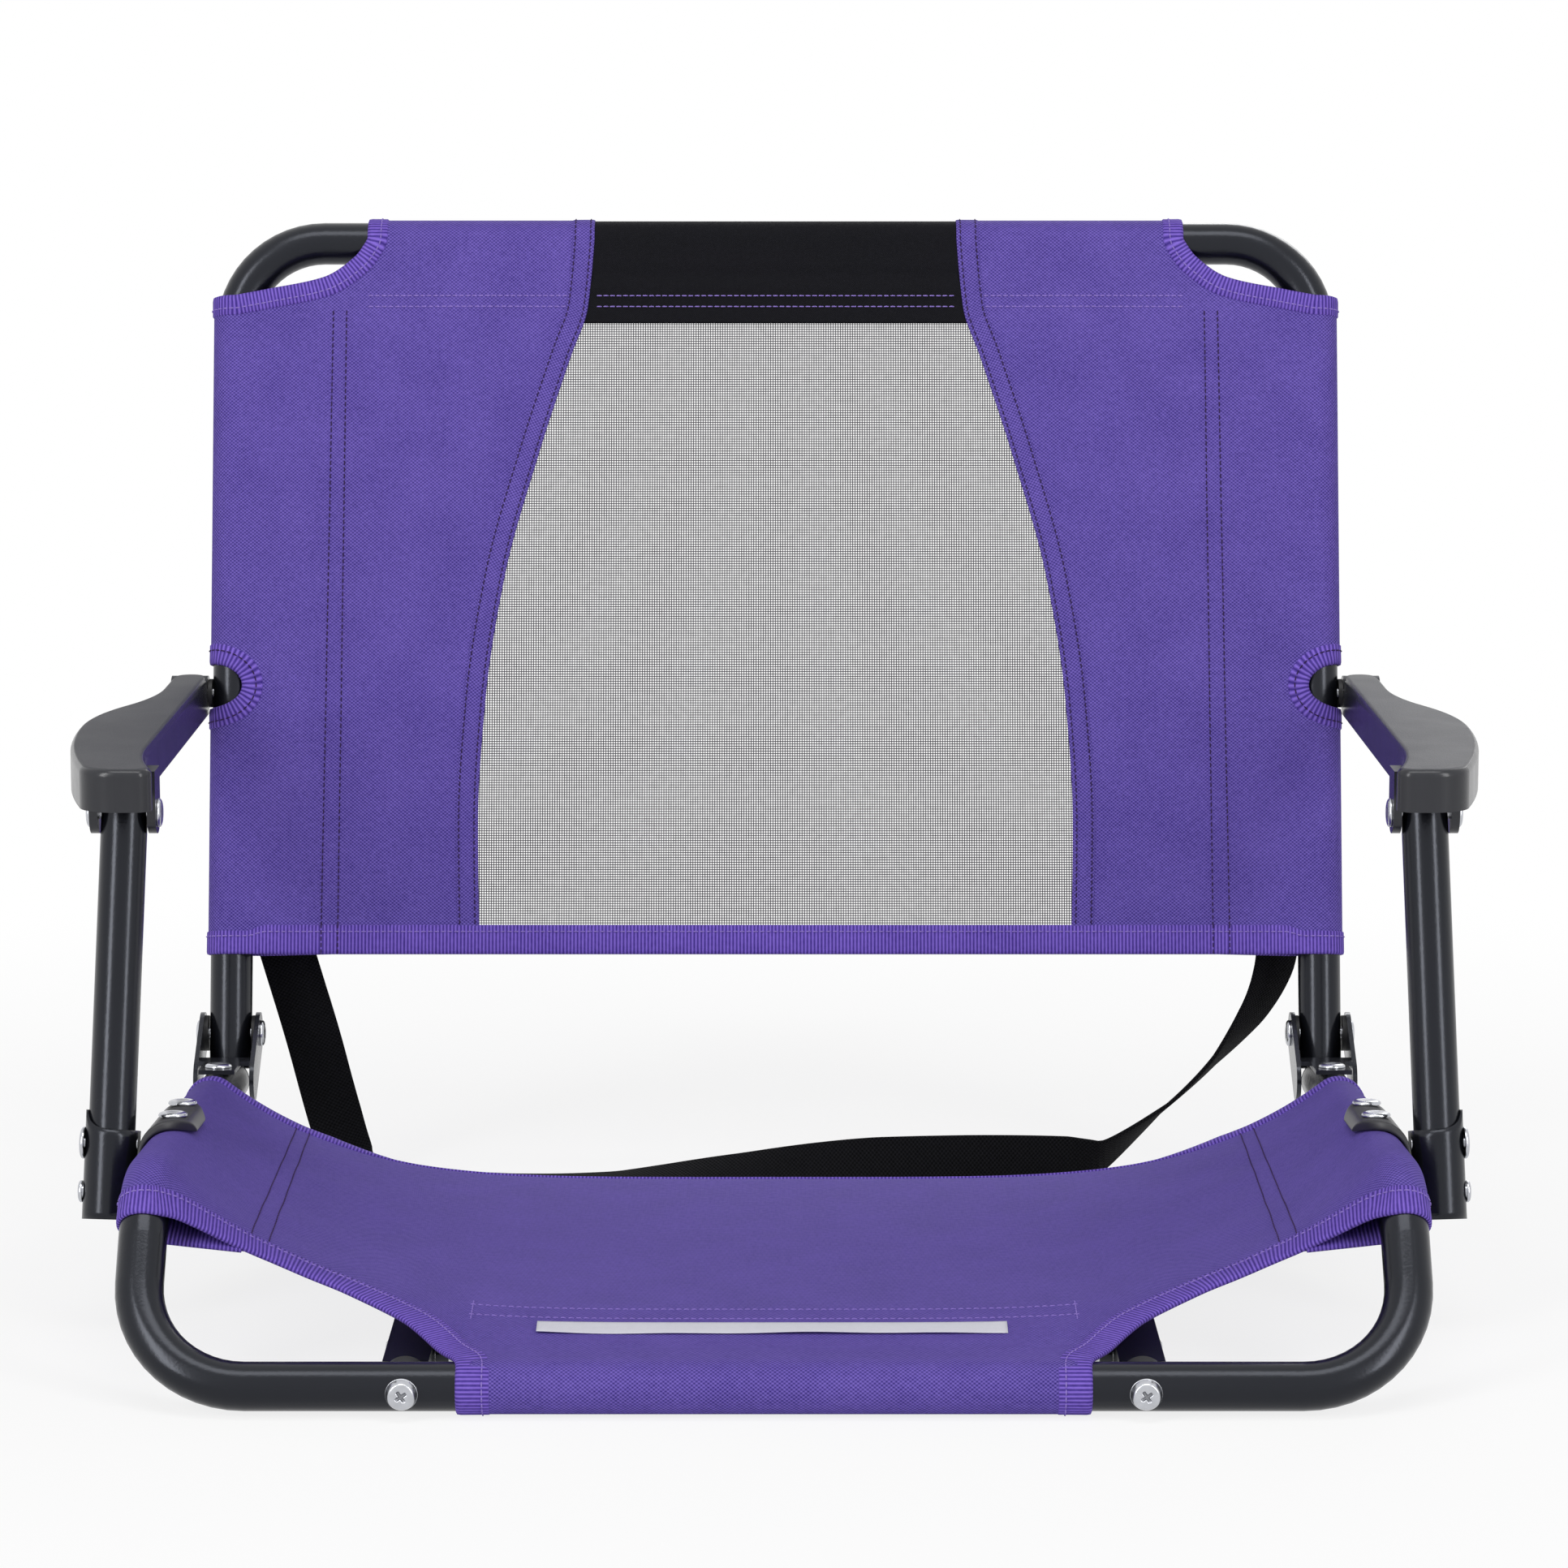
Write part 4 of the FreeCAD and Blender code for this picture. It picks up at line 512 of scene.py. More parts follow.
# %% Zinc plate
def zinc(name, colour, recess_shade, rough=0.24):
    """Zinc-plated steel: bright, with a soft spangle, fine draw marks and painted shade in the hollows."""
    finish = Finish(name, Metallic=1.0)
    place = finish.place()
    hollow = finish.parts(finish.place("cloth"))[0] * (1 / MM)
    spangle = finish.noise(place, scale=260, detail=3)
    fine = finish.noise(place, scale=2400, detail=1)
    plated = finish.mix(spangle, shade(colour, 0.7), shade(colour))
    # Painted shade: the hollows are mixed towards a dark colour.
    colour = finish.mix(hollow * 0.6, plated, shade(recess_shade))
    return finish.coat(colour, rough + (spangle - 0.5) * 0.2 + hollow * 0.2, fine + spangle, 0.08, 0.0003)


zinc_finish = zinc("zinc_plate", (206, 208, 214), (52, 53, 58))
print("plate:", zinc_finish.name)

# %% [markdown]
# Camera, light and floor
# The photograph is a product shot from a little above, through a long lens. The camera stands where
# its perspective puts it. Four soft lamps and a dim world light the seat evenly. What the camera and
# mirrors see of the world is white, and so is the floor, which takes the shadow near the seat. Stronger
# lamps would whiten the floor too, but would wash out the cloth.

# %% Camera
PHOTO_SIZE = 1932
FOCAL_PIXELS = 6312
CAMERA_PLACE = np.array([3.9, -2137.9, 545.0])
CAMERA_TILT = 8.9
scene = bpy.context.scene
scene.view_settings.view_transform = "Standard"
camera_data = bpy.data.cameras.new("camera")
camera_data.sensor_width = 36.0
camera_data.lens = 36.0 * FOCAL_PIXELS / PHOTO_SIZE
camera = bpy.data.objects.new("camera", camera_data)
camera.location = CAMERA_PLACE * MM
camera.rotation_euler = (math.radians(90 - CAMERA_TILT), 0, 0)
scene.collection.objects.link(camera)
scene.camera = camera
print("lens", round(camera_data.lens, 1), "mm")

# %% Lamps
AIM = np.array([0.0, 0.0, 0.2])
LAMPS = {"key_lamp": ((-1.6, -1.75, 1.2), (0.6, 1.9), 29),
         "fill_lamp": ((1.65, -1.7, 1.1), (0.5, 1.9), 23),
         "rear_lamp": ((0.7, 2.3, 1.5), (1.6, 1.0), 16),
         "top_lamp": ((0.0, -0.7, 2.3), (1.8, 0.8), 17)}
for name, (stand, size, power) in LAMPS.items():
    data = bpy.data.lights.new(name, "AREA")
    data.shape = "RECTANGLE"
    data.size, data.size_y = size
    data.energy = power
    lamp = bpy.data.objects.new(name, data)
    x, y, z = AIM - stand
    lamp.location = stand
    lamp.rotation_euler = (math.atan2(math.hypot(x, y), -z), 0, math.atan2(x, -y) + math.pi)
    scene.collection.objects.link(lamp)
print("lamps", len(LAMPS))

# %% World and floor
DIM, WHITE = 0.18, 0.82
scene.world = bpy.data.worlds.new("studio")
sky = Sums(scene.world)
backdrop = sky.tree.nodes["Background"].inputs
backdrop["Color"].default_value = (1, 1, 1, 1)
sky.feed(backdrop["Strength"], sky.plain_sight().math("MULTIPLY_ADD", WHITE, DIM))

FLOOR_HALF, FLOOR_Z = 6.0, -0.0005
floor_look = Finish("pale_floor", Base_Color=(0.9, 0.9, 0.9, 1), Roughness=0.9)
away = floor_look.node("VectorMath", {0: floor_look.place()}, "Value", operation="LENGTH")
glow_share = floor_look.plain_sight() * away.step(0.3, 1.0, bottom=0.82)
lit = Term(floor_look, floor_look.shader.outputs[0])
glow = floor_look.node("Emission")
blend = floor_look.node("MixShader", {0: glow_share, 1: lit, 2: glow})
floor_look.feed(floor_look.tree.nodes["Material Output"].inputs["Surface"], blend)
floor_mesh = bpy.data.meshes.new("floor")
floor_corners = np.array([(-1, -1), (1, -1), (1, 1), (-1, 1)]) * FLOOR_HALF
floor_mesh.from_pydata([(x, y, FLOOR_Z) for x, y in floor_corners.tolist()], [], [(0, 1, 2, 3)])
floor_mesh.materials.append(floor_look.material)
floor = bpy.data.objects.new("floor", floor_mesh)
scene.collection.objects.link(floor)
print("floor", 2 * FLOOR_HALF, "m wide")

# %% [markdown]
# The carry strap
# A flat strip of black webbing hangs from the cover's hem on one side, lies on its edge on the floor
# behind the seat and climbs to the other side with a twist. A cloth simulation could drop it there, but
# would settle somewhere else each time. Its line is a NURBS curve that has the route's points as its
# controls, and the webbing's width turns along it.

# %% Strap route
STRAP_WIDTH = 25.0
STRAP_PROFILE = [(-12.5, -0.5), (-11.8, -0.9), (11.8, -0.9), (12.5, -0.5), (12.5, 0.5), (11.8, 0.9),
                 (-11.8, 0.9), (-12.5, 0.5)]
FLOOR_GAP = 1.2
# Each row is a place (across, depth, height) and the way of the webbing's width there.
STRAP_ROUTE = np.array([
    (-229, 388, 128, 1, 0, 0.1), (-222, 394, 100, 1, 0, 0.2), (-213, 400, 66, 0.95, 0.1, 0.3),
    (-206, 402, 36, 0.9, 0.2, 0.3), (-199, 400, 12, 0.7, 0.6, 0.25), (-190, 395, 2, 0.25, 1, 0),
    (-130, 380, 1.6, 0, 1, 0), (-80, 374, 2, 0, 1, 0.1), (-17, 369, 8, 0, 0.85, 0.55),
    (50, 366, 12, 0, 0.4, 0.92), (100, 366, 12.8, 0, 0.08, 1), (142, 368, 13, 0, -0.2, 1),
    (152, 372, 16, -0.3, -0.9, 0.6), (188, 388, 42, -0.15, -1, 0.15), (208, 394, 62, -0.3, -1, 0.1),
    (224, 394, 84, -0.6, -0.8, 0.15), (231, 390, 108, -0.9, -0.7, 0), (229, 388, 128, -1, -0.7, 0),
])


def spline_points(route):
    """Points along the NURBS curve that has the route's points as its controls, in millimetres."""
    curve = bpy.data.curves.new("route", "CURVE")
    curve.dimensions = "3D"
    spline = curve.splines.new("NURBS")
    spline.points.add(len(route) - 1)
    spline.points.foreach_set("co", np.column_stack([route * MM, np.ones(len(route))]).ravel())
    spline.order_u = 3
    spline.use_endpoint_u = True
    spline.resolution_u = 16
    holder = bpy.data.objects.new("route", curve)
    scene.collection.objects.link(holder)
    bpy.context.view_layer.update()
    line = bpy.data.meshes.new_from_object(holder.evaluated_get(bpy.context.evaluated_depsgraph_get()))
    points = np.zeros(3 * len(line.vertices))
    line.vertices.foreach_get("co", points)
    bpy.data.objects.remove(holder)
    return points.reshape(-1, 3) / MM


print("strap route:", len(STRAP_ROUTE), "points")

# %% Strap webbing
strap_line = spline_points(seat_point(*STRAP_ROUTE[:, :3].T))
knots = np.arange(len(STRAP_ROUTE))
strap_across = sampled(np.linspace(0, knots[-1], len(strap_line)), knots, STRAP_ROUTE[:, 3:])
strap_line, strap_across = evenly(strap_line, 3.0, strap_across)
lowest = STRAP_WIDTH / 2 * np.abs(unit(strap_across)[:, 2]) + FLOOR_GAP
strap_line[:, 2] = np.maximum(strap_line[:, 2], lowest)
way = unit(np.gradient(strap_line, axis=0))
strap_across = unit(strap_across - way * (strap_across * way).sum(-1, keepdims=True))
strap_out = np.cross(way, strap_across)
strap = piece("strap_webbing", [carried(strap_line, strap_across, strap_out, STRAP_PROFILE)], "back",
              webbing_finish, ["carry_strap"])
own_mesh(strap)

# %% [markdown]
# The sling's shape
# Across the seat, the cloth's height grows with a high power of the distance from the middle: nearly
# level for the sitter and steep beside the rails. An arc of a circle would be simpler, but curves as much
# in the middle as at the sides. The curve runs smoothly into a circle round each rail, which is found by
# repeating one equation until it settles. In front, the sleeves follow the rails' bend and end on it; from
# there the cut edge swings in to the flap, which wraps the front rail.

# %% Rail and sag
BEND = 45.0
POWER = 4.6
SEAT_REAR = 288.0
SAG_DEPTHS, SAG_HEIGHTS = [-1, 12, 40, 60, 92, 300], [21.35, 21.9, 25.2, 26.4, 26.6, 27.4]
bend_depth = BEND_DEPTH + BEND * math.tan((DROP + SLOPE) / 2) * math.cos(SLOPE)
bend_middle = bend_depth - BEND * math.sin(SLOPE)
bend_height = rail_height(bend_depth) - BEND * math.cos(SLOPE)


def rail_axis(run):
    """Depth, height and lean of the rail's axis: its run is the depth, and in the bend the arc's length."""
    straight = run >= bend_depth
    lean = np.where(straight, -SLOPE, -SLOPE + (bend_depth - run) / BEND)
    depth = np.where(straight, run, bend_middle - BEND * np.sin(lean))
    height = np.where(straight, rail_height(run), bend_height + BEND * np.cos(lean))
    return depth, height, lean


def sag_low(depth):
    """Height of the cloth in the middle of the seat."""
    return smooth_through(SAG_DEPTHS, SAG_HEIGHTS, depth)


def rail_touch(run):
    """Where the hanging cloth touches the sleeve's circle: place across, depth, height and angle."""
    depth, height, lean = rail_axis(run)
    angle = np.full(np.shape(run), 0.6)
    for _ in range(40):
        touch_depth = depth - SLEEVE * np.cos(angle) * np.sin(lean)
        touch_height = height + SLEEVE * np.cos(angle) * np.cos(lean)
        rise = touch_height - sag_low(touch_depth)
        angle = np.arctan(POWER * rise / (HALF - SLEEVE * np.sin(angle)))
    return HALF - SLEEVE * np.sin(angle), touch_depth, touch_height, angle


print("rail bends over at a depth of", round(bend_depth, 1), "mm")

# %% The upper cloth
FLAP_HALF = 121.5
SEAT_STITCH = 208.5
SLEEVE_END = bend_depth - BEND * math.radians(46.2)
rail_runs = np.linspace(SEAT_REAR, SLEEVE_END, 110)
touch_x, touch_depths, touch_z, touch_angle = rail_touch(rail_runs)
CURL, CURL_DEPTH = 4.0, 16
PUCKER, GROOVE = 0.5, 0.3
CUT_X = [FLAP_HALF, 128.0, 135.2, 144.9, 160.7, 174.6, 193.2, 209.7, 227.2, 236.5, touch_x[-1]]
CUT_DEPTHS = [0.0, 8.5, 20.6, 33.2, 45.1, 51.1, 52.9, 50.2, 45.5, 41.4, touch_depths[-1]]


def cut_depth(x):
    """Depth of the cut edge between the flap and the sleeve."""
    return smooth_through(CUT_X, CUT_DEPTHS, x)


def reach_cut(touch, cut):
    """Depth in the row that touches the rail at one depth, where the cloth is cut off at another."""
    share = (touch - touch_depths[0]) / (touch_depths[-1] - touch_depths[0])
    return touch_depths[0] + share * (cut - touch_depths[0])


def seat_cloth(depth, x):
    """Height of the sling's upper face: the power curve, with a rear edge that curls down, shallow
    puckers and a groove at the sleeves' seams."""
    x = np.abs(x)
    near = np.maximum(depth, touch_depths[-1])
    rise = np.interp(-near, -touch_depths, touch_z) - sag_low(near)
    share = x / np.interp(-near, -touch_depths, touch_x)
    fade = np.clip(depth / touch_depths[-1], 0, 1)
    hang = sag_low(depth) + rise * fade * fade * (3 - 2 * fade) * share ** POWER
    behind = np.clip((depth - SEAT_REAR + CURL_DEPTH) / CURL_DEPTH, 0, 1) ** 2
    curl = CURL * behind * np.clip((195 - x) / 40, 0, 1)
    waves = np.sin(depth / 8.5 + 0.05 * x) * np.sin(depth / 31 + 0.8)
    pucker = PUCKER * waves * np.exp(-((x - 196) / 16) ** 2)
    groove = GROOVE * np.exp(-((x - SEAT_STITCH) / 1.1) ** 2)
    return hang - curl + (pucker - groove) * np.clip((depth - 62) / 30, 0, 1)


print("sling touches at", np.round(touch_x[[0, -1]], 1), "angle", np.round(np.degrees(touch_angle[[0, -1]])))

# %% [markdown]
# The sling as one sheet
# Three kinds of patch meet along shared points and are sewn: the upper cloth from rail to rail, the
# flap's wrap round the front rail and the sleeves round the side rails. Columns of points stand closer
# where the cloth bends. One sheet with a Solidify modifier is chosen over separate slabs, because its
# seams then have no gaps.

# %% Upper cloth and flap
FLAP_STITCH = (60.0, 21.2)
FLAP_TURN = math.radians(255)
STOPS, STEPS = [0, 112, FLAP_HALF, 150, 200, 216, touch_x[-1]], [23, 8, 22, 17, 14, 8]
half_places = np.concatenate([[0.0]] + [np.linspace(low, high, steps + 1)[1:]
                                        for low, high, steps in zip(STOPS, STOPS[1:], STEPS)])
columns = np.concatenate([-half_places[:0:-1], half_places]) / touch_x[-1]
top_x = touch_x[:, None] * columns
top_depth = reach_cut(touch_depths[:, None], cut_depth(np.clip(np.abs(top_x[-1]), FLAP_HALF, touch_x[-1])))
top_points = seat_point(top_x, top_depth, seat_cloth(top_depth, top_x))
turns = np.linspace(0, FLAP_TURN, 26)
wrap = np.stack([-SLEEVE * np.sin(turns), FRONT_Z + SLEEVE * np.cos(turns)], -1)
under = wrap[-1] + np.linspace(0, 1, 12)[1:, None] * (np.array(FLAP_STITCH) - wrap[-1])
lip = np.concatenate([wrap, under])
lip_x = top_x[-1][np.abs(top_x[-1]) <= FLAP_HALF + 0.01]
lip_points = seat_point(lip_x, lip[:, :1], lip[:, 1:])
print("upper cloth", top_points.shape, "flap", lip_points.shape)

# %% Sleeves and sling
SLEEVE_UNDER = 1.6  # from the upper face down to the sleeve's seam


def across_run(points):
    """Length along each row of a grid, from its middle column outwards."""
    steps = np.cumsum(np.linalg.norm(np.diff(points, axis=1), axis=-1), axis=1)
    lengths = np.concatenate([np.zeros((len(points), 1)), steps], 1)
    return lengths - lengths[:, lengths.shape[1] // 2, None]


def rail_sleeve(side, runs):
    """Cloth round one rail in sections square to it: from the upper cloth, over the rail, to the stitch
    below, with a straight way from the circle's tangent point."""
    depth, height, lean = [part[:, None] for part in rail_axis(runs)]
    _, touch, _, angle = rail_touch(runs)
    start = -angle[:, None]
    goal_depth = reach_cut(touch, cut_depth(np.array([SEAT_STITCH])))[:, None]
    goal_z = seat_cloth(goal_depth, SEAT_STITCH) - SLEEVE_UNDER
    rise = (goal_z - height) * np.cos(lean) - (goal_depth - depth) * np.sin(lean)
    facing = np.arctan2(SEAT_STITCH - HALF, rise) + TURN
    end = facing - np.arccos(SLEEVE / np.hypot(SEAT_STITCH - HALF, rise))
    angle = start + (end - start) * np.linspace(0, 1, 33)
    around = np.stack([HALF + SLEEVE * np.sin(angle), depth - SLEEVE * np.cos(angle) * np.sin(lean),
                       height + SLEEVE * np.cos(angle) * np.cos(lean)], -1)
    goal = spread(SEAT_STITCH, goal_depth, goal_z)
    back = around[:, -1:] + np.linspace(0, 1, 15)[1:, None] * (goal - around[:, -1:])
    section = np.concatenate([around, back], 1)
    return seat_point(side * section[..., 0], section[..., 1], section[..., 2])


lip_run = SEAT_REAR + run_lengths(lip)
sling_patches = [patch(top_points, np.stack([across_run(top_points), SEAT_REAR - top_depth], -1), flip=True),
                 patch(lip_points, spread(lip_x, lip_run[:, None]), flip=True)]
for side in SIDES:
    points = rail_sleeve(side, rail_runs)
    flat = spread(side * (HALF + run_lengths(points[0])), SEAT_REAR - rail_runs[:, None])
    sling_patches.append(patch(points, flat, flip=side > 0))
sling = piece("seat_cloth", sling_patches, "seat_base", cloth_finish,
              ["seat_sling", "seat_flap", "flap_wrap"], thickness=CLOTH, merge=0.05)
print("sling", len(sling.data.polygons), "faces")

# %% [markdown]
# The cover of the back
# Two cloth panels with a sleeve round each upright and round the top tube, and a net between them.
# The front faces lie in one plane, tangent to the tubes. Each panel is cut out at its top corner and
# has a half-round hole where the armrest's bush comes through. Shrinking cloth over the tubes could make
# the sleeves; a section of arc and tangent is exact and needs no collision.

# %% Outline of the cover
COVER_LOW = 36.0
TOP_END = 186.0
SEAM_UPS = [COVER_LOW - 2, 97, 150, 207, 264, 309, 331, BACK_LENGTH + 20]
SEAM_HALVES = [134.0, 135.0, 132.0, 123.5, 108.0, 93.5, 86.0, 81.5]
CORNER_X = [TOP_END, 191.6, 206.5, 232.6, HALF + 1]
CORNER_UP = [BACK_LENGTH, BACK_LENGTH - 8.0, BACK_LENGTH - 18, BACK_LENGTH - 23.6, BACK_LENGTH - 26.5]


def seam_half(up):
    """Half width of the net at a height up the back: a bowed seam."""
    return smooth_through(SEAM_UPS, SEAM_HALVES, up)


def cover_top(x):
    """Upper limit of a panel's front: the top tube's axis, or the cut-out's curve."""
    return np.where(x <= TOP_END, BACK_LENGTH, smooth_through(CORNER_X, CORNER_UP, np.maximum(x, TOP_END)))


def cover_wave(x, up):
    """Slight unevenness of stretched cloth: shallow level waves that fade at the tubes."""
    fade = np.clip((HALF - 6 - x) / 40, 0, 1) * np.clip((BACK_LENGTH - 14 - up) / 40, 0, 1)
    fade = fade * np.clip((up - COVER_LOW - 10) / 30, 0, 1) * np.clip((x - seam_half(up) - 8) / 20, 0, 1)
    level = 0.5 * np.sin(up / 17 + 1.5 * np.sin(x / 60)) * np.sin(x / 33 + 1)
    return fade * (level + 0.35 * np.sin(x / 11 + up / 70))


print("net half width", np.round(seam_half(np.array([COVER_LOW, BACK_LENGTH])), 1), "mm, low and high")

# %% Sleeves of the cover
PANEL_STITCH = 201.0
TOP_STITCH = 28.0
STITCH_GAP = 1.5  # from the front face to the layer that is sewn to it


def loop_section(start, goal, sense, radius, arc, line):
    """Section of cloth round a tube at the origin: a circle from a start angle, in one sense, to where
    the straight way to the stitch leaves it, and that straight way."""
    goal = np.array(goal)
    facing = math.atan2(goal[1], goal[0]) + (TURN if sense > 0 else 0)
    angle = np.linspace(start, facing - sense * math.acos(radius / np.linalg.norm(goal)), arc)
    around = radius * np.stack([np.cos(angle), np.sin(angle)], -1)
    return np.concatenate([around, around[-1] + np.linspace(0, 1, line)[1:, None] * (goal - around[-1])])


def upright_sleeve(side, ups):
    """Cloth round one upright: its section (across, behind) from the front layer to the side stitch."""
    goal = (PANEL_STITCH - HALF, -SLEEVE + STITCH_GAP)
    section = loop_section(-math.pi / 2, goal, 1, SLEEVE, 41, 15) + [HALF, 0]
    return section, back_point(side * section[:, 0], section[:, 1], ups)


def top_sleeve_section(extra=0.0, stitch=TOP_STITCH):
    """Section of the cloth round the top tube: behind and up, from the front down to the stitch."""
    return loop_section(math.pi, (-SLEEVE + STITCH_GAP, -stitch), -1, SLEEVE + extra, 37, 9)


print("upright's sleeve", round(run_lengths(upright_sleeve(1, 0.0)[0])[-1], 1), "mm round")

# %% Panels
PANEL_GRID = (150, 75)
ARM_HOLE = (16.0, 10.7)
HOLE_UP = ARM_UP + 2.6


def panel_front(side):
    """Front layer of one panel as a grid between its seam and the upright."""
    upward, across = np.linspace(0, 1, PANEL_GRID[0])[:, None], np.linspace(0, 1, PANEL_GRID[1])
    x = np.full(PANEL_GRID, 160.0)
    for _ in range(12):
        up = COVER_LOW + upward * (cover_top(x) - COVER_LOW)
        seam = seam_half(up)
        x = seam + across * (HALF - seam)
    return x, up, back_point(side * x, -SLEEVE + cover_wave(x, up), up)


def outside_hole(middle):
    """Faces that stay: outside the half-round hole at the armrest's pivot, an ellipse from the front."""
    across = (np.abs(middle[:, 0]) - HALF - SLEEVE) / ARM_HOLE[0]
    upward = ((middle - hinge) @ back_up - HOLE_UP) / ARM_HOLE[1]
    return np.hypot(across, upward) > 1


for side, name in SIDES.items():
    x, up, points = panel_front(side)
    patches = [patch(points, np.stack([side * x, up], -1), flip=side < 0, keep=outside_hole)]
    ups = up[:, -1:]
    section, points = upright_sleeve(side, ups)
    flat = spread(side * (HALF + run_lengths(section)), ups)
    patches.append(patch(points, flat, flip=side < 0, keep=outside_hole))
    loop = top_sleeve_section()
    panel_x = side * x[-1][x[-1] <= TOP_END + 0.01][:, None]
    flat = spread(panel_x, BACK_LENGTH + run_lengths(loop))
    patches.append(patch(back_point(panel_x, loop[:, 0], BACK_LENGTH + loop[:, 1]), flat, flip=side > 0))
    panel = piece("back_cloth_" + name, patches, "back", cloth_finish, ["back_panel_" + name],
                  thickness=CLOTH, merge=0.05)
    print(panel.name, len(panel.data.polygons), "faces")

# %% [markdown]
# Net and black top hem
# The net is a flat grid between the bowed seams, just behind the panels' front. Above it, a band of
# black knit lies in front of the top tube, in shallow folds, and goes round it. Both stay flat sheets,
# because the cloth beside them carries the stretch.

# %% Net and black top hem
HEM_TOP = BACK_LENGTH - 38.7
HEM_INSET = 0.35
net_up = np.linspace(COVER_LOW, HEM_TOP + 6, 120)[:, None]
net_x = (seam_half(net_up) + 7) * np.linspace(-1, 1, 90)
net = piece("net", [patch(back_point(net_x, -SLEEVE + 1.3, net_up), spread(net_x, net_up))],
            "back", net_finish, ["mesh_panel"])

hem_front = spread(-SLEEVE + HEM_INSET, np.linspace(HEM_TOP, BACK_LENGTH, 30)[:-1])
hem_section = np.concatenate([hem_front, top_sleeve_section(-HEM_INSET, 34.0) + [0, BACK_LENGTH]])
hem_behind, hem_up = hem_section[:, :1], hem_section[:, 1:]
fold = 0.5 * np.sin(hem_up / 2.1) * np.exp(-((hem_up - BACK_LENGTH + 20) / 9) ** 2)
hem_x = np.linspace(-1, 1, 60) * (seam_half(hem_up) + 5)
hem = piece("top_hem", [patch(back_point(hem_x, hem_behind + fold, hem_up))], "back",
            knit_finish, thickness=0.7)
print("net", len(net.data.polygons), "faces, hem", len(hem.data.polygons))

# %% [markdown]
# Tape along the cut edges
# Cut cloth frays, so each edge is folded into ribbed tape. The tape is one section, a flat loop round
# the cloth, carried along the edge; the edge is a line on the cloth's surface, and a second line a few
# millimetres inside it tells the tape which way the cloth lies. Thickening the cloth's own border faces
# would be quicker, but would follow the grid and not the cut.

# %% Tape
TAPE = 12.5
INSIDE, RUN_IN = 4.0, 3.0  # from an edge to the second line, on flat cloth and along a rail
OVER_TAPE = 0.66


def bound_edge(edge, shown, width=TAPE, step=2.0, ends=True, narrow=0.0):
    """Tape along an edge; returns its patch and the seam line near its inner side, with the way out.

    Beyond the uprights' inner sides it may be narrower by a share, so that it clears the rail's rivet
    when the back is folded."""
    path, inside = evenly(edge[0], step, edge[1])
    into, out = edge_frames(path, inside, shown)
    into = into * (1 - narrow * np.clip((np.abs(path[:, :1]) - HALF + 15) / 6, 0, 1))
    section = [(width, 0.1), (width - 0.5, 0.62), (1.0, 0.7), (-0.4, 0.45), (-0.8, -0.5), (-0.4, -1.4),
               (1.0, -1.7), (width - 0.5, -1.6), (width, -1.1)]
    tape = carried(path, into, out, section, ends)
    tape[0][:, 2] = np.maximum(tape[0][:, 2], 0.05)
    return tape, (path + into * (width - 3.0) + out * OVER_TAPE, out)


print("tape", TAPE, "mm wide")


# %% Edges of the seat
def eased(path, reach=2):
    """A path with its corners rounded: each point becomes the mean of its neighbours, the ends stay."""
    padded = np.concatenate([np.repeat(path[:1], reach, 0), path, np.repeat(path[-1:], reach, 0)])
    sums = np.cumsum(np.concatenate([np.zeros((1, 3)), padded]), axis=0)
    return (sums[2 * reach + 1:] - sums[:-2 * reach - 1]) / (2 * reach + 1)


def seat_front_edge(side):
    """Edge from the stitch under the rail, round the rail, along the cut and round the front rail."""
    sleeve = rail_sleeve(side, np.array([SLEEVE_END, SLEEVE_END + RUN_IN]))[:, ::-1]
    x = np.linspace(touch_x[-1], FLAP_HALF, 240)[1:]
    depth = cut_depth(x)
    slope = unit(np.stack([np.gradient(depth, x), -np.ones_like(x)], -1))
    lines = []
    for k, inside in enumerate((0.0, INSIDE)):
        x_in, depth_in = x - inside * slope[:, 0], depth - inside * slope[:, 1]
        cut = seat_point(side * x_in, depth_in, seat_cloth(depth_in, x_in))
        round_rail = seat_point(side * (FLAP_HALF - inside), lip[1:, 0], lip[1:, 1])
        lines.append(np.concatenate([sleeve[k], cut, round_rail]))
    return [eased(line) for line in evenly(lines[0], 2.0, lines[1])]


def seat_rear_edge():
    """Edge from one stitch, round its rail, across the sling and round the other rail."""
    runs = np.array([SEAT_REAR, SEAT_REAR - RUN_IN])
    reach, depth = [part[:, None] for part in rail_touch(runs)[:2]]
    x = np.linspace(-1, 1, 160)[1:-1] * reach
    middle = seat_point(x, depth, seat_cloth(depth, x))
    return np.concatenate([rail_sleeve(-1, runs)[:, ::-1], middle, rail_sleeve(1, runs)], 1)


print("seat's front edge", round(run_lengths(seat_front_edge(1)[0])[-1]), "mm")


# %% Edges of the cover
def corner_edge(side):
    """Edge of a panel's upper corner: round the top tube, along the cut-out, round the upright."""
    loop = top_sleeve_section()[::-1]
    x = np.linspace(TOP_END, HALF, 80)[1:]
    lines = []
    for inside in (0.0, INSIDE):
        over = back_point(side * (TOP_END - inside), loop[:, 0], BACK_LENGTH + loop[:, 1])
        front = back_point(side * (x - 0.5 * inside), -SLEEVE, cover_top(x) - inside)
        around = upright_sleeve(side, cover_top(x)[-1] - inside)[1]
        lines.append(np.concatenate([over, front, around[1:]]))
    return lines


def cover_low_edge():
    """Lower edge of the cover: from the rear of one upright, across the front, to the rear of the other."""
    ups = COVER_LOW + np.array([[0.0], [INSIDE]])
    left, right = upright_sleeve(-1, ups)[1][:, ::-1], upright_sleeve(1, ups)[1]
    return np.concatenate([left, back_point(np.linspace(-HALF, HALF, 150)[1:-1], -SLEEVE, ups), right], 1)


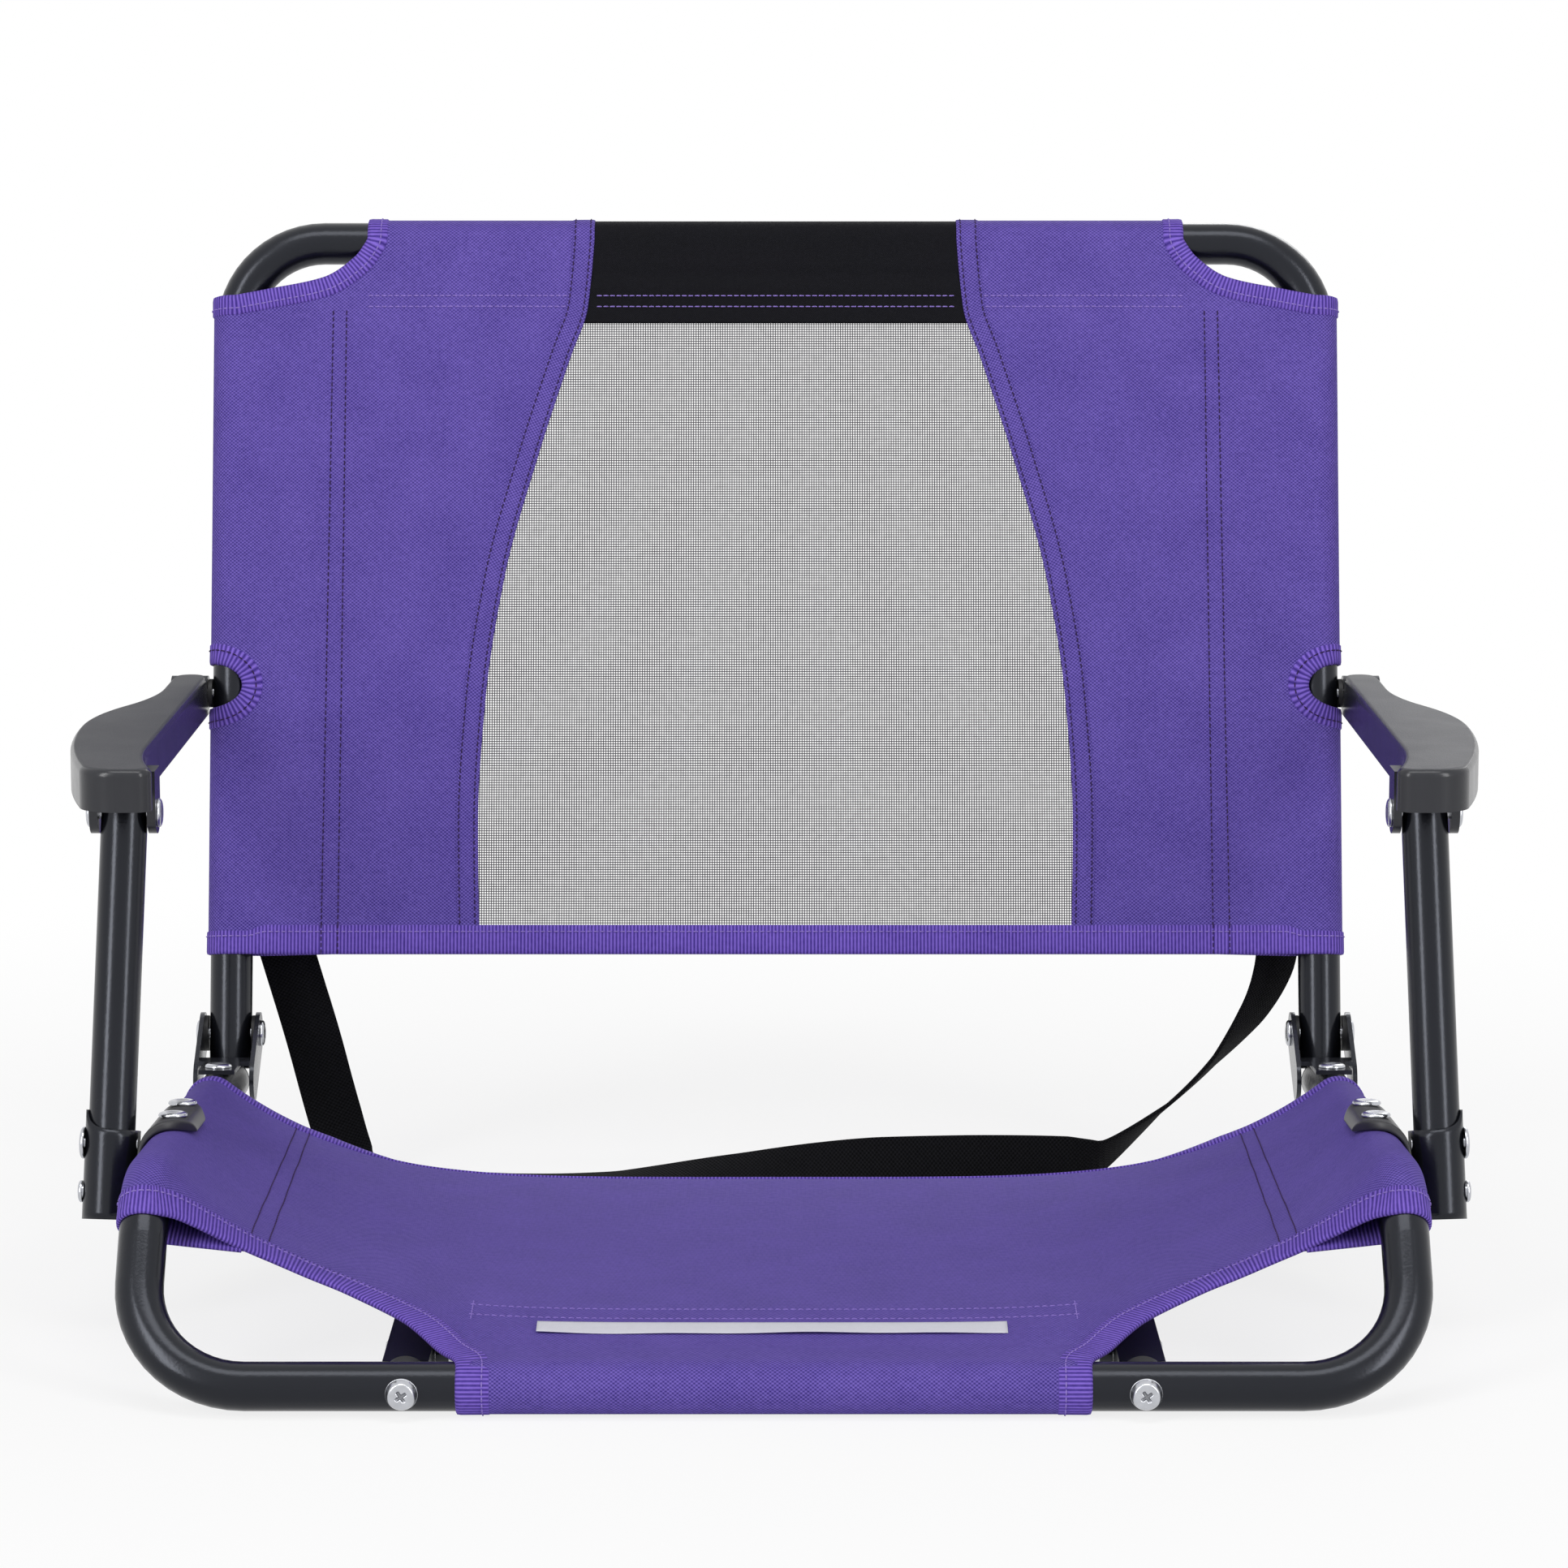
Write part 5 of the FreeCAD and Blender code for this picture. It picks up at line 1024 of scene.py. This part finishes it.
def hole_edge(side, grow):
    """Closed edge of the arm hole on the sleeve: an ellipse seen from the front, on both layers."""
    turn = np.linspace(math.pi, 3 * math.pi, 241)
    x = HALF + SLEEVE - grow * ARM_HOLE[0] * np.abs(np.cos(turn))
    curve = np.sqrt(np.maximum(SLEEVE ** 2 - np.maximum(x - HALF, 0) ** 2, 0))
    straight = upright_sleeve(side, 0.0)[0][-15:]
    rear = np.where(x < straight[0, 0], np.interp(-x, -straight[:, 0], straight[:, 1]), curve)
    behind = np.where(np.cos(turn) >= 0, -curve, rear)
    return back_point(side * x, behind, HOLE_UP + grow * ARM_HOLE[1] * np.sin(turn))


print("arm hole's edge", round(run_lengths(hole_edge(1, 1.0))[-1]), "mm")

# %% Tape pieces
seat_tapes, back_tapes = [], []
for side in SIDES:
    seat_tapes.append(bound_edge(seat_front_edge(side), (0, 0, 1)))
    back_tapes.append(bound_edge(corner_edge(side), FRONT, width=8.5))
    rings = [hole_edge(side, grow) for grow in (1.0, 1.3)]
    back_tapes.append(bound_edge(rings, (side, 0, 0), width=8.8, step=1.5, ends=False))
seat_tapes.append(bound_edge(seat_rear_edge(), (0, 0, 1), width=10.0))
back_tapes.append(bound_edge(cover_low_edge(), FRONT, narrow=0.2))
seat_tape = piece("seat_tape", [tape for tape, _ in seat_tapes], "seat_base", tape_finish,
                  closed=True)
back_tape = piece("back_tape", [tape for tape, _ in back_tapes], "back", tape_finish,
                  merge=0.01, closed=True)
print("tape faces", len(seat_tape.data.polygons) + len(back_tape.data.polygons))

# %% [markdown]
# Turned hems beside the net
# The panels' inner edges are turned under once and sewn twice, which leaves a band a centimetre wide
# that stands a little proud. A bump in the finish could hint at it, but its edge shows at a slant, so it
# is another section carried along the seam.

# %% Turned hems
HEM_BAND = 10.0
BAND_SECTION = [(-0.2, -0.9), (-0.2, 0.1), (0.4, 0.4), (HEM_BAND - 0.6, 0.34), (HEM_BAND, 0.02),
                (HEM_BAND, -0.9)]
seam_ups = np.linspace(COVER_LOW + 2, BACK_LENGTH, 160)
seam_x = seam_half(seam_ups)
loop = top_sleeve_section()[1:]
seam_lines = {}
for side in SIDES:
    lines = []
    for inside in (0.0, INSIDE):
        front = back_point(side * (seam_x + inside), -SLEEVE, seam_ups)
        over = back_point(side * (seam_x[-1] + inside), loop[:, 0], BACK_LENGTH + loop[:, 1])
        lines.append(np.concatenate([front, over]))
    line, inside = evenly(lines[0], 2.0, lines[1])
    seam_lines[side] = (line, *edge_frames(line, inside, FRONT))
bands = [carried(*frames, BAND_SECTION) for frames in seam_lines.values()]
hem_bands = piece("turned_hems", bands, "back", cloth_finish, closed=True)
print("turned hems", len(hem_bands.data.polygons), "faces")

# %% [markdown]
# Stitches
# A row of stitches is one small arched dash of thread, repeated at even steps along a line on the
# cloth. All dashes of a row are placed at once by arrays of directions, and each has only a few faces.
# Copies by an array modifier would do for a straight row; these rows bend with the cloth.

# %% One row of stitches
STITCH_PITCH = 3.0
THREAD = 0.3
DASH = 5  # rings of a dash, and corners of a ring
dash_along = np.array([-0.4, -0.28, 0.0, 0.28, 0.4]) * STITCH_PITCH
dash_lift = np.array([-0.25, 0.12, 0.22, 0.12, -0.25])
dash_thick = np.array([0.4, 1.0, 1.0, 1.0, 0.4]) * THREAD
dash_turn = np.arange(DASH) / DASH * TURN


def stitch_row(path, out):
    """Dashes along a path: each is a bent five-sided thread with its ends sunk in the cloth."""
    path, out = evenly(path, STITCH_PITCH, out)
    way = unit(np.gradient(path, axis=0))
    aside = unit(np.cross(way, out))
    out = np.cross(aside, way)
    ring = dash_thick[:, None] * np.stack([np.cos(dash_turn), np.sin(dash_turn)])[:, None]
    shape = (way[:, None, None] * dash_along[:, None, None] + aside[:, None, None] * ring[0][..., None]
             + out[:, None, None] * (dash_lift[:, None] + ring[1])[..., None])
    points = (path[:, None, None] + shape).reshape(-1, 3)
    face = patch(shape[0], ring=True)[1]
    faces = (np.arange(len(path))[:, None, None] * DASH ** 2 + face).reshape(-1, 4)
    flat = np.zeros((len(faces), 4, 2))
    flat[..., 1] = dash_along[faces % DASH ** 2 // DASH]
    return points, faces, flat, []


print("a dash has", DASH * (DASH - 1), "faces")

# %% Lines on the cloth
ROW_POINTS = 120


def facing_front(points):
    """A line with the way out of the back's front face."""
    return points, np.broadcast_to(FRONT, points.shape)


def on_back(x, up):
    """Line on a panel's front face, with the way out of it."""
    return facing_front(back_point(x, -SLEEVE + cover_wave(np.abs(x), up), up))


def on_seat(x, depth):
    """Line on the sling's upper face, with its normal from the surface's slopes."""
    x, depth = np.broadcast_arrays(x, depth)
    slope_x = seat_cloth(depth, x + 0.5) - seat_cloth(depth, x - 0.5)
    slope_y = seat_cloth(depth + 0.5, x) - seat_cloth(depth - 0.5, x)
    return seat_point(x, depth, seat_cloth(depth, x)), unit(spread(-slope_x, -slope_y, 1.0))


def between(start, end):
    """Places at even steps from one number to another."""
    return start + (end - start) * np.linspace(0, 1, ROW_POINTS)


print("slope at the sleeve's seam", np.round(on_seat(SEAT_STITCH, 150.0)[1], 2))

# %% Rows of stitches
HEM_HALF = 80.5
TOP_ROWS = (BACK_LENGTH - 26, BACK_LENGTH - 31)
FLAP_ROW = 119.0
dark_back, light_back, dark_seat, light_seat = [], [], [], []
for side in SIDES:
    for top, low in ((202.0, 205.5), (196.0, 198.0)):
        dark_back.append(on_back(side * between(low, top), between(49, BACK_LENGTH - 34)))
        on_tape = back_point(side * low, -SLEEVE - OVER_TAPE, between(COVER_LOW + 0.5, COVER_LOW + 12))
        dark_back.append(facing_front(on_tape))
    line, into, out = [part[6:] for part in seam_lines[side]]
    dark_back += [(line + into * away + out * 0.36, out) for away in (1.6, 8.6)]
    light_back += [on_back(side * between(seam_half(np.array(up)) + 11, TOP_END - 1), up) for up in TOP_ROWS]
    for rear, front in ((209.5, 207.0), (203.8, 200.3)):
        dark_seat.append(on_seat(side * between(rear, front), between(SEAT_REAR - 9, 54)))
light_back += [facing_front(back_point(between(-HEM_HALF, HEM_HALF), -SLEEVE + 0.2, up)) for up in TOP_ROWS]
light_seat += [on_seat(between(-FLAP_ROW, FLAP_ROW), depth) for depth in (44.5, 56.0)]
light_seat += [on_seat(side * FLAP_ROW, between(41, 59.5)) for side in SIDES]
corner_left, ring_left, corner_right, ring_right, low_edge = [row for _, row in back_tapes]
dark_back += [ring_left, ring_right]
light_back += [corner_left, corner_right, low_edge]
light_seat += [row for _, row in seat_tapes[:2]]
for name, rows, body, finish in (("back_seams_dark", dark_back, "back", thread_dark),
                                 ("back_seams_light", light_back, "back", thread_light),
                                 ("seat_seams_dark", dark_seat, "seat_base", thread_dark),
                                 ("seat_seams_light", light_seat, "seat_base", thread_light)):
    sewn = piece(name, [stitch_row(*row) for row in rows], body, finish)
    print(name, len(sewn.data.polygons) // (DASH * (DASH - 1)), "stitches")

# %% [markdown]
# The blank label
# A narrow strip of white satin tape is sewn below the flap's seam. It is left plain. Its lower edge is
# free and stands off the cloth in slow waves, which a strip laid on by a finish alone couldn't do.

# %% The blank label
LABEL_DEPTHS = (39.0, 27.5)
LABEL_ENDS = (-92.8, 91.3)
label_x = np.linspace(*LABEL_ENDS, 120)
label_depth = np.linspace(*LABEL_DEPTHS, 9)[:, None]
free = (LABEL_DEPTHS[0] - label_depth) / (LABEL_DEPTHS[0] - LABEL_DEPTHS[1])
label_lift = 0.3 + free * (0.45 + 0.3 * np.sin(label_x / 24 + 0.6) + 0.2 * np.sin(label_x / 8.5))
label_z = seat_cloth(label_depth, label_x) + np.maximum(label_lift, 0.2)
label = piece("blank_label", [patch(seat_point(label_x, label_depth, label_z))], "seat_base",
              satin_finish, thickness=0.3)
print("label", len(label.data.polygons), "faces")

# %% [markdown]
# Saddles and post feet
# A plastic saddle grips cloth and rail: a thick pad on top whose inner end is cut to a point, and a band
# that runs down the outside to the post's pivot. It is a coarse closed cage, rounded by subdivision, which
# is how a moulded shape is quickest to draw. The post's foot is a steel strip bent round the tube; its top
# edge is high outside and dips to the front, so its height is a curve over the strip's width.

# %% Saddle's cage
SADDLE_MIDDLE = 159.0
SADDLE_OUTSIDE = [(-10, 9.2), (-8.4, 12.8), (-5, 15.0), (1.5, 15.1), (6.4, 13.4), (10.2, 9.8), (12.2, 5),
                  (12.6, -1), (12.6, -15)]
SADDLE_INSIDE = [(11.1, -15), (11.1, -1), (10.6, 4.2), (8.2, 7.9), (4.6, 10.4), (0, 11.2), (-4, 10.6),
                 (-7.4, 9.0), (-9.8, 8.0)]
SADDLE_HALVES = [15, 19, 27, 31, 31, 31, 30, 29, 26]
SADDLE_SHIFTS = [0, 0, 0, 0, -1, -3, -6, -9, -13]
SADDLE_STATIONS = np.array([-1.0, -0.95, -0.5, 0, 0.5, 0.95, 1.0])[:, None]


def saddle_cage(side):
    """A closed section whose half length and shift change round it, at stations along the rail."""
    across, up = np.array(SADDLE_OUTSIDE + SADDLE_INSIDE, float).T
    half = np.array(SADDLE_HALVES + SADDLE_HALVES[::-1], float)
    shift = np.array(SADDLE_SHIFTS + SADDLE_SHIFTS[::-1], float)
    depth = SADDLE_MIDDLE + shift + SADDLE_STATIONS * half
    height = rail_height(depth) + up * math.cos(SLOPE)
    made = patch(seat_point(side * (HALF + across), depth + up * math.sin(SLOPE), height), ring=True)
    count = len(across)
    ends = np.array([(k, k + 1, count - 2 - k, count - 1 - k) for k in range(count // 2 - 1)])
    return *made[:3], np.concatenate([ends, ends + (len(SADDLE_STATIONS) - 1) * count]).tolist()


print("saddle's cage:", len(saddle_cage(1)[1]), "faces besides its ends")

# %% Foot's strip
FOOT_RADIUS = 10.8
FOOT_BOTTOM, FOOT_FLANGE = -11.5, 8.0
FOOT_SHARES, FOOT_TOPS = [-0.1, 0.05, 0.22, 0.36, 0.5, 0.8, 1.1], [33.0, 33.0, 28.2, 26.0, 25.3, 25.0, 25.0]
POST_LEAN = (0.031, 0.237, 0.971)


def foot_sheet(side):
    """A strip bent round the post: rows up the post, columns from the outer flange by the front to the
    inner one."""
    up = unit(np.array([-side, 1, 1]) * POST_LEAN)
    out = unit(np.array([side, 0, 0]) - up * (side * up[0]))
    front = np.cross(up, out) * side
    front = front * -np.sign(front[1])
    turn = np.linspace(0, math.pi, 25)
    flange = np.linspace(-FOOT_FLANGE, 0, 6)[:-1]
    bend = FOOT_RADIUS * np.stack([np.cos(turn), np.sin(turn)], -1)
    section = np.concatenate([spread(FOOT_RADIUS, flange), bend, spread(-FOOT_RADIUS, flange[::-1])])
    share = np.concatenate([0 * flange, turn / math.pi, 0 * flange + 1])
    low = FOOT_BOTTOM + 3.0 * np.clip(-section[:, 1] / FOOT_FLANGE, 0, 1) ** 3
    height = low + np.linspace(0, 1, 14)[:, None] * (smooth_through(FOOT_SHARES, FOOT_TOPS, share) - low)
    points = post_pivot * [side, 1, 1] + height[..., None] * up
    return patch(points + section[:, :1] * out + section[:, 1:] * front, flip=side > 0)


print("foot's strip:", len(foot_sheet(1)[1]), "faces")

# %% Saddles and feet
for side, name in SIDES.items():
    saddle = piece("saddle_clamp_" + name, [saddle_cage(side)], "seat_base", saddle_finish,
                   ["saddle_" + name], closed=True)
    rounding = saddle.modifiers.new("rounding", "SUBSURF")
    rounding.levels = rounding.render_levels = 2
    foot = piece("foot_strip_" + name, [foot_sheet(side)], name + "_post", tube_finish,
                 ["post_foot_" + name], thickness=1.2)
    print(saddle.name, len(saddle.data.polygons), "faces,", foot.name, len(foot.data.polygons))

# %% [markdown]
# Rivet and screw heads
# The solids have plain tapered heads. Real ones are semi-tubular rivets with a rolled rim and a dimple,
# and pan-head screws with a cross. Each is a profile turned round an axis: a function of the radius and
# the turn, placed by the axis's own two cross directions. Their places come from the rails and from the
# frame's own solids, so they stay on the fasteners.

# %% Rivet's profile
RIVET = np.array([(5.85, 0), (6.0, 0.5), (5.75, 1.1), (5.1, 1.55), (4.2, 1.8), (3.3, 1.75), (2.3, 1.6),
                  (1.2, 1.52), (0.02, 1.5)])
HOLLOW = (2.0, 3.3)


def turned_head(centre, axis, scale):
    """The rivet's profile (radius, height) turned round an axis; the middle inside the rim is marked as
    hollow, where the zinc finish paints shade."""
    axis = unit(np.array(axis, float))
    first = unit(np.cross(axis, [0.3, 0.5, 0.8]))
    turn = np.linspace(0, TURN, 24, endpoint=False)[:, None]
    ring = np.cos(turn) * first + np.sin(turn) * np.cross(axis, first)
    reach, rise = RIVET[:, 0] * scale, RIVET[:, 1] * min(scale * 1.2, 1.0) + 0.02
    points = np.array(centre) + reach[:, None, None] * ring + rise[:, None, None] * axis
    # The share of painted shade inside the rim, kept in the cloth coordinate.
    recess_shade = np.clip((HOLLOW[1] - RIVET[:, 0]) / (HOLLOW[1] - HOLLOW[0]), 0, 1) * 0.75
    return patch(points, spread(recess_shade[:, None], 0 * turn[:, 0]), ring=True)


print("rivet", 2 * RIVET[:, 0].max(), "mm wide,", RIVET[:, 1].max(), "mm high")

# %% Places of the rivets
HEAD, FOOT_HEAD = 1.4, 1.51  # heights of the solids' plain heads
UPWARD, OUTWARD, INWARD = (0, math.sin(SLOPE), math.cos(SLOPE)), (-1, 0, 0), (1, 0, 0)
SADDLE_RIVETS, RAIL_RIVET = (143.0, 177.0), 313.0  # depths
SADDLE_TOP, RAIL_TOP = 14.98, 11.57  # from the rail's axis up to the heads
PIN_HALF = 13.525  # from the upright's axis to the hinge pin's head
FOOT_AXIS = (-1, 0.007, 0.028)


def solid_box(name):
    """Low and high corner of one of the frame's solids."""
    points = np.zeros(3 * len(nodes[name].data.vertices))
    nodes[name].data.vertices.foreach_get("co", points)
    points = points.reshape(-1, 3) / MM
    return points.min(0), points.max(0)


def on_rail(depth, lift):
    """Place over the left rail's axis, square to it."""
    return -HALF, FRONT_Y + depth + lift * math.sin(SLOPE), float(rail_height(depth)) + lift * math.cos(SLOPE)


arm_low, arm_high = solid_box("armrest_rivet_left")
foot_low, foot_high = solid_box("foot_rivet_left")
arm_middle, foot_middle = (arm_low + arm_high)[1:] / 2, (foot_low + foot_high)[1:] / 2
bolt_x = solid_box("pivot_bolt_left")[0][0] + HEAD
# Heads on the left side: place, axis and scale.
HEADS = {
    "seat_base": [(on_rail(SADDLE_RIVETS[0], SADDLE_TOP), UPWARD, 1.0),
                  (on_rail(SADDLE_RIVETS[1], SADDLE_TOP), UPWARD, 1.0),
                  ((-HALF - PIN_HALF, *hinge[1:]), OUTWARD, 1.0),
                  ((-HALF + PIN_HALF, *hinge[1:]), INWARD, 1.0),
                  (on_rail(RAIL_RIVET, RAIL_TOP), UPWARD, 1.0)],
    "left_arm": [((arm_high[0] - HEAD, *arm_middle), INWARD, 1.0),
                 ((arm_low[0] + HEAD, *arm_middle), OUTWARD, 1.0)],
    "left_post": [((foot_low[0] + FOOT_HEAD, *foot_middle), FOOT_AXIS, 1.1),
                  ((bolt_x, *post_pivot[1:]), OUTWARD, 0.76)],
}
print("rivets on the left side:", {body: len(heads) for body, heads in HEADS.items()})

# %% Rivet heads
placed = {}
for body, heads in HEADS.items():
    others = [((-place[0], *place[1:]), (-axis[0], *axis[1:]), scale) for place, axis, scale in heads]
    for holder, side_heads in ((body, heads), (body.replace("left", "right"), others)):
        placed.setdefault(holder, []).extend(turned_head(*head) for head in side_heads)
for holder, patches in placed.items():
    piece("rivet_heads_" + holder, patches, holder, zinc_finish, merge=0.05, closed=True)
    print(holder, len(patches), "rivet heads")

# %% Screw heads
SCREW_TURN = 0.6
SCREW_RADIUS, SCREW_RISE = 5.8, 2.995  # of the solid's plain head


def screw_head(centre):
    """A low dome with a cross, to the front: the height falls inside two crossed bars, whose ends are
    rounded off."""
    reach = np.append(np.linspace(0.02, 5.2, 22), [5.7, 6.1, 6.3, 6.25])[::-1, None]
    turn = np.linspace(0, TURN, 64, endpoint=False)
    rim = 3.6 * np.clip((reach - 4.4) / 1.9, 0, 1) ** 2.2
    dome = 3.15 + 0.95 * np.sqrt(np.clip(1 - (reach / 6.6) ** 2, 0, 1)) - rim
    x, z = reach * np.cos(turn), reach * np.sin(turn)
    bars = [np.clip((0.75 - np.abs(a)) / 0.35, 0, 1) * np.clip((2.6 - np.abs(b)) / 0.6, 0, 1)
            for a, b in ((x, z), (z, x))]
    cross = np.maximum(*bars)
    turned = turn + SCREW_TURN
    points = np.array(centre) + spread(reach * np.cos(turned), 0.9 * cross - dome, reach * np.sin(turned))
    # The cross is kept in the cloth coordinate, where the zinc finish paints shade in it.
    return patch(points, spread(cross, 0.0), ring=True)


low, high = solid_box("front_screws")
SCREW = (high[0] - SCREW_RADIUS, low[1] + SCREW_RISE, (low[2] + high[2]) / 2)
screws = [screw_head((side * SCREW[0], *SCREW[1:])) for side in SIDES]
piece("screw_heads", screws, "seat_base", zinc_finish, merge=0.05, closed=True)
print("screws at", np.round(SCREW, 2))

# %% [markdown]
# Finishes of the steel and plastic
# The frame's own pieces keep their shape and get a finish each. A list by finish is chosen over one line
# per piece, because most of them are bought or made together.


# %% Finishes of the frame
def both(*names):
    """Names of the pieces that come in a left and a right."""
    return [name + "_" + side for name in names for side in SIDES.values()]


FRAME_LOOKS = {
    tube_finish: ["seat_frame_tube", "rear_leg_tube", "back_frame_tube",
                  *both("post_tube", "leg_plate", "stretcher", "hook")],
    bracket_finish: both("hinge_bracket"),
    arm_finish: both("armrest"),
    plug_finish: ["rail_plugs", "upright_plugs", "arm_bushes", "stretcher_spacers", "hinge_washers"],
    zinc_finish: ["saddle_rivets", "front_screws", "rear_screws", "hook_rivets", "hinge_pins", "rail_rivets",
                  "arm_pins", *both("armrest_rivet", "foot_rivet", "pivot_bolt")],
}
for finish, names in FRAME_LOOKS.items():
    for name in names:
        nodes[name].data.materials.clear()
        nodes[name].data.materials.append(finish)
    print(finish.name, "on", len(names), "pieces")

# %% [markdown]
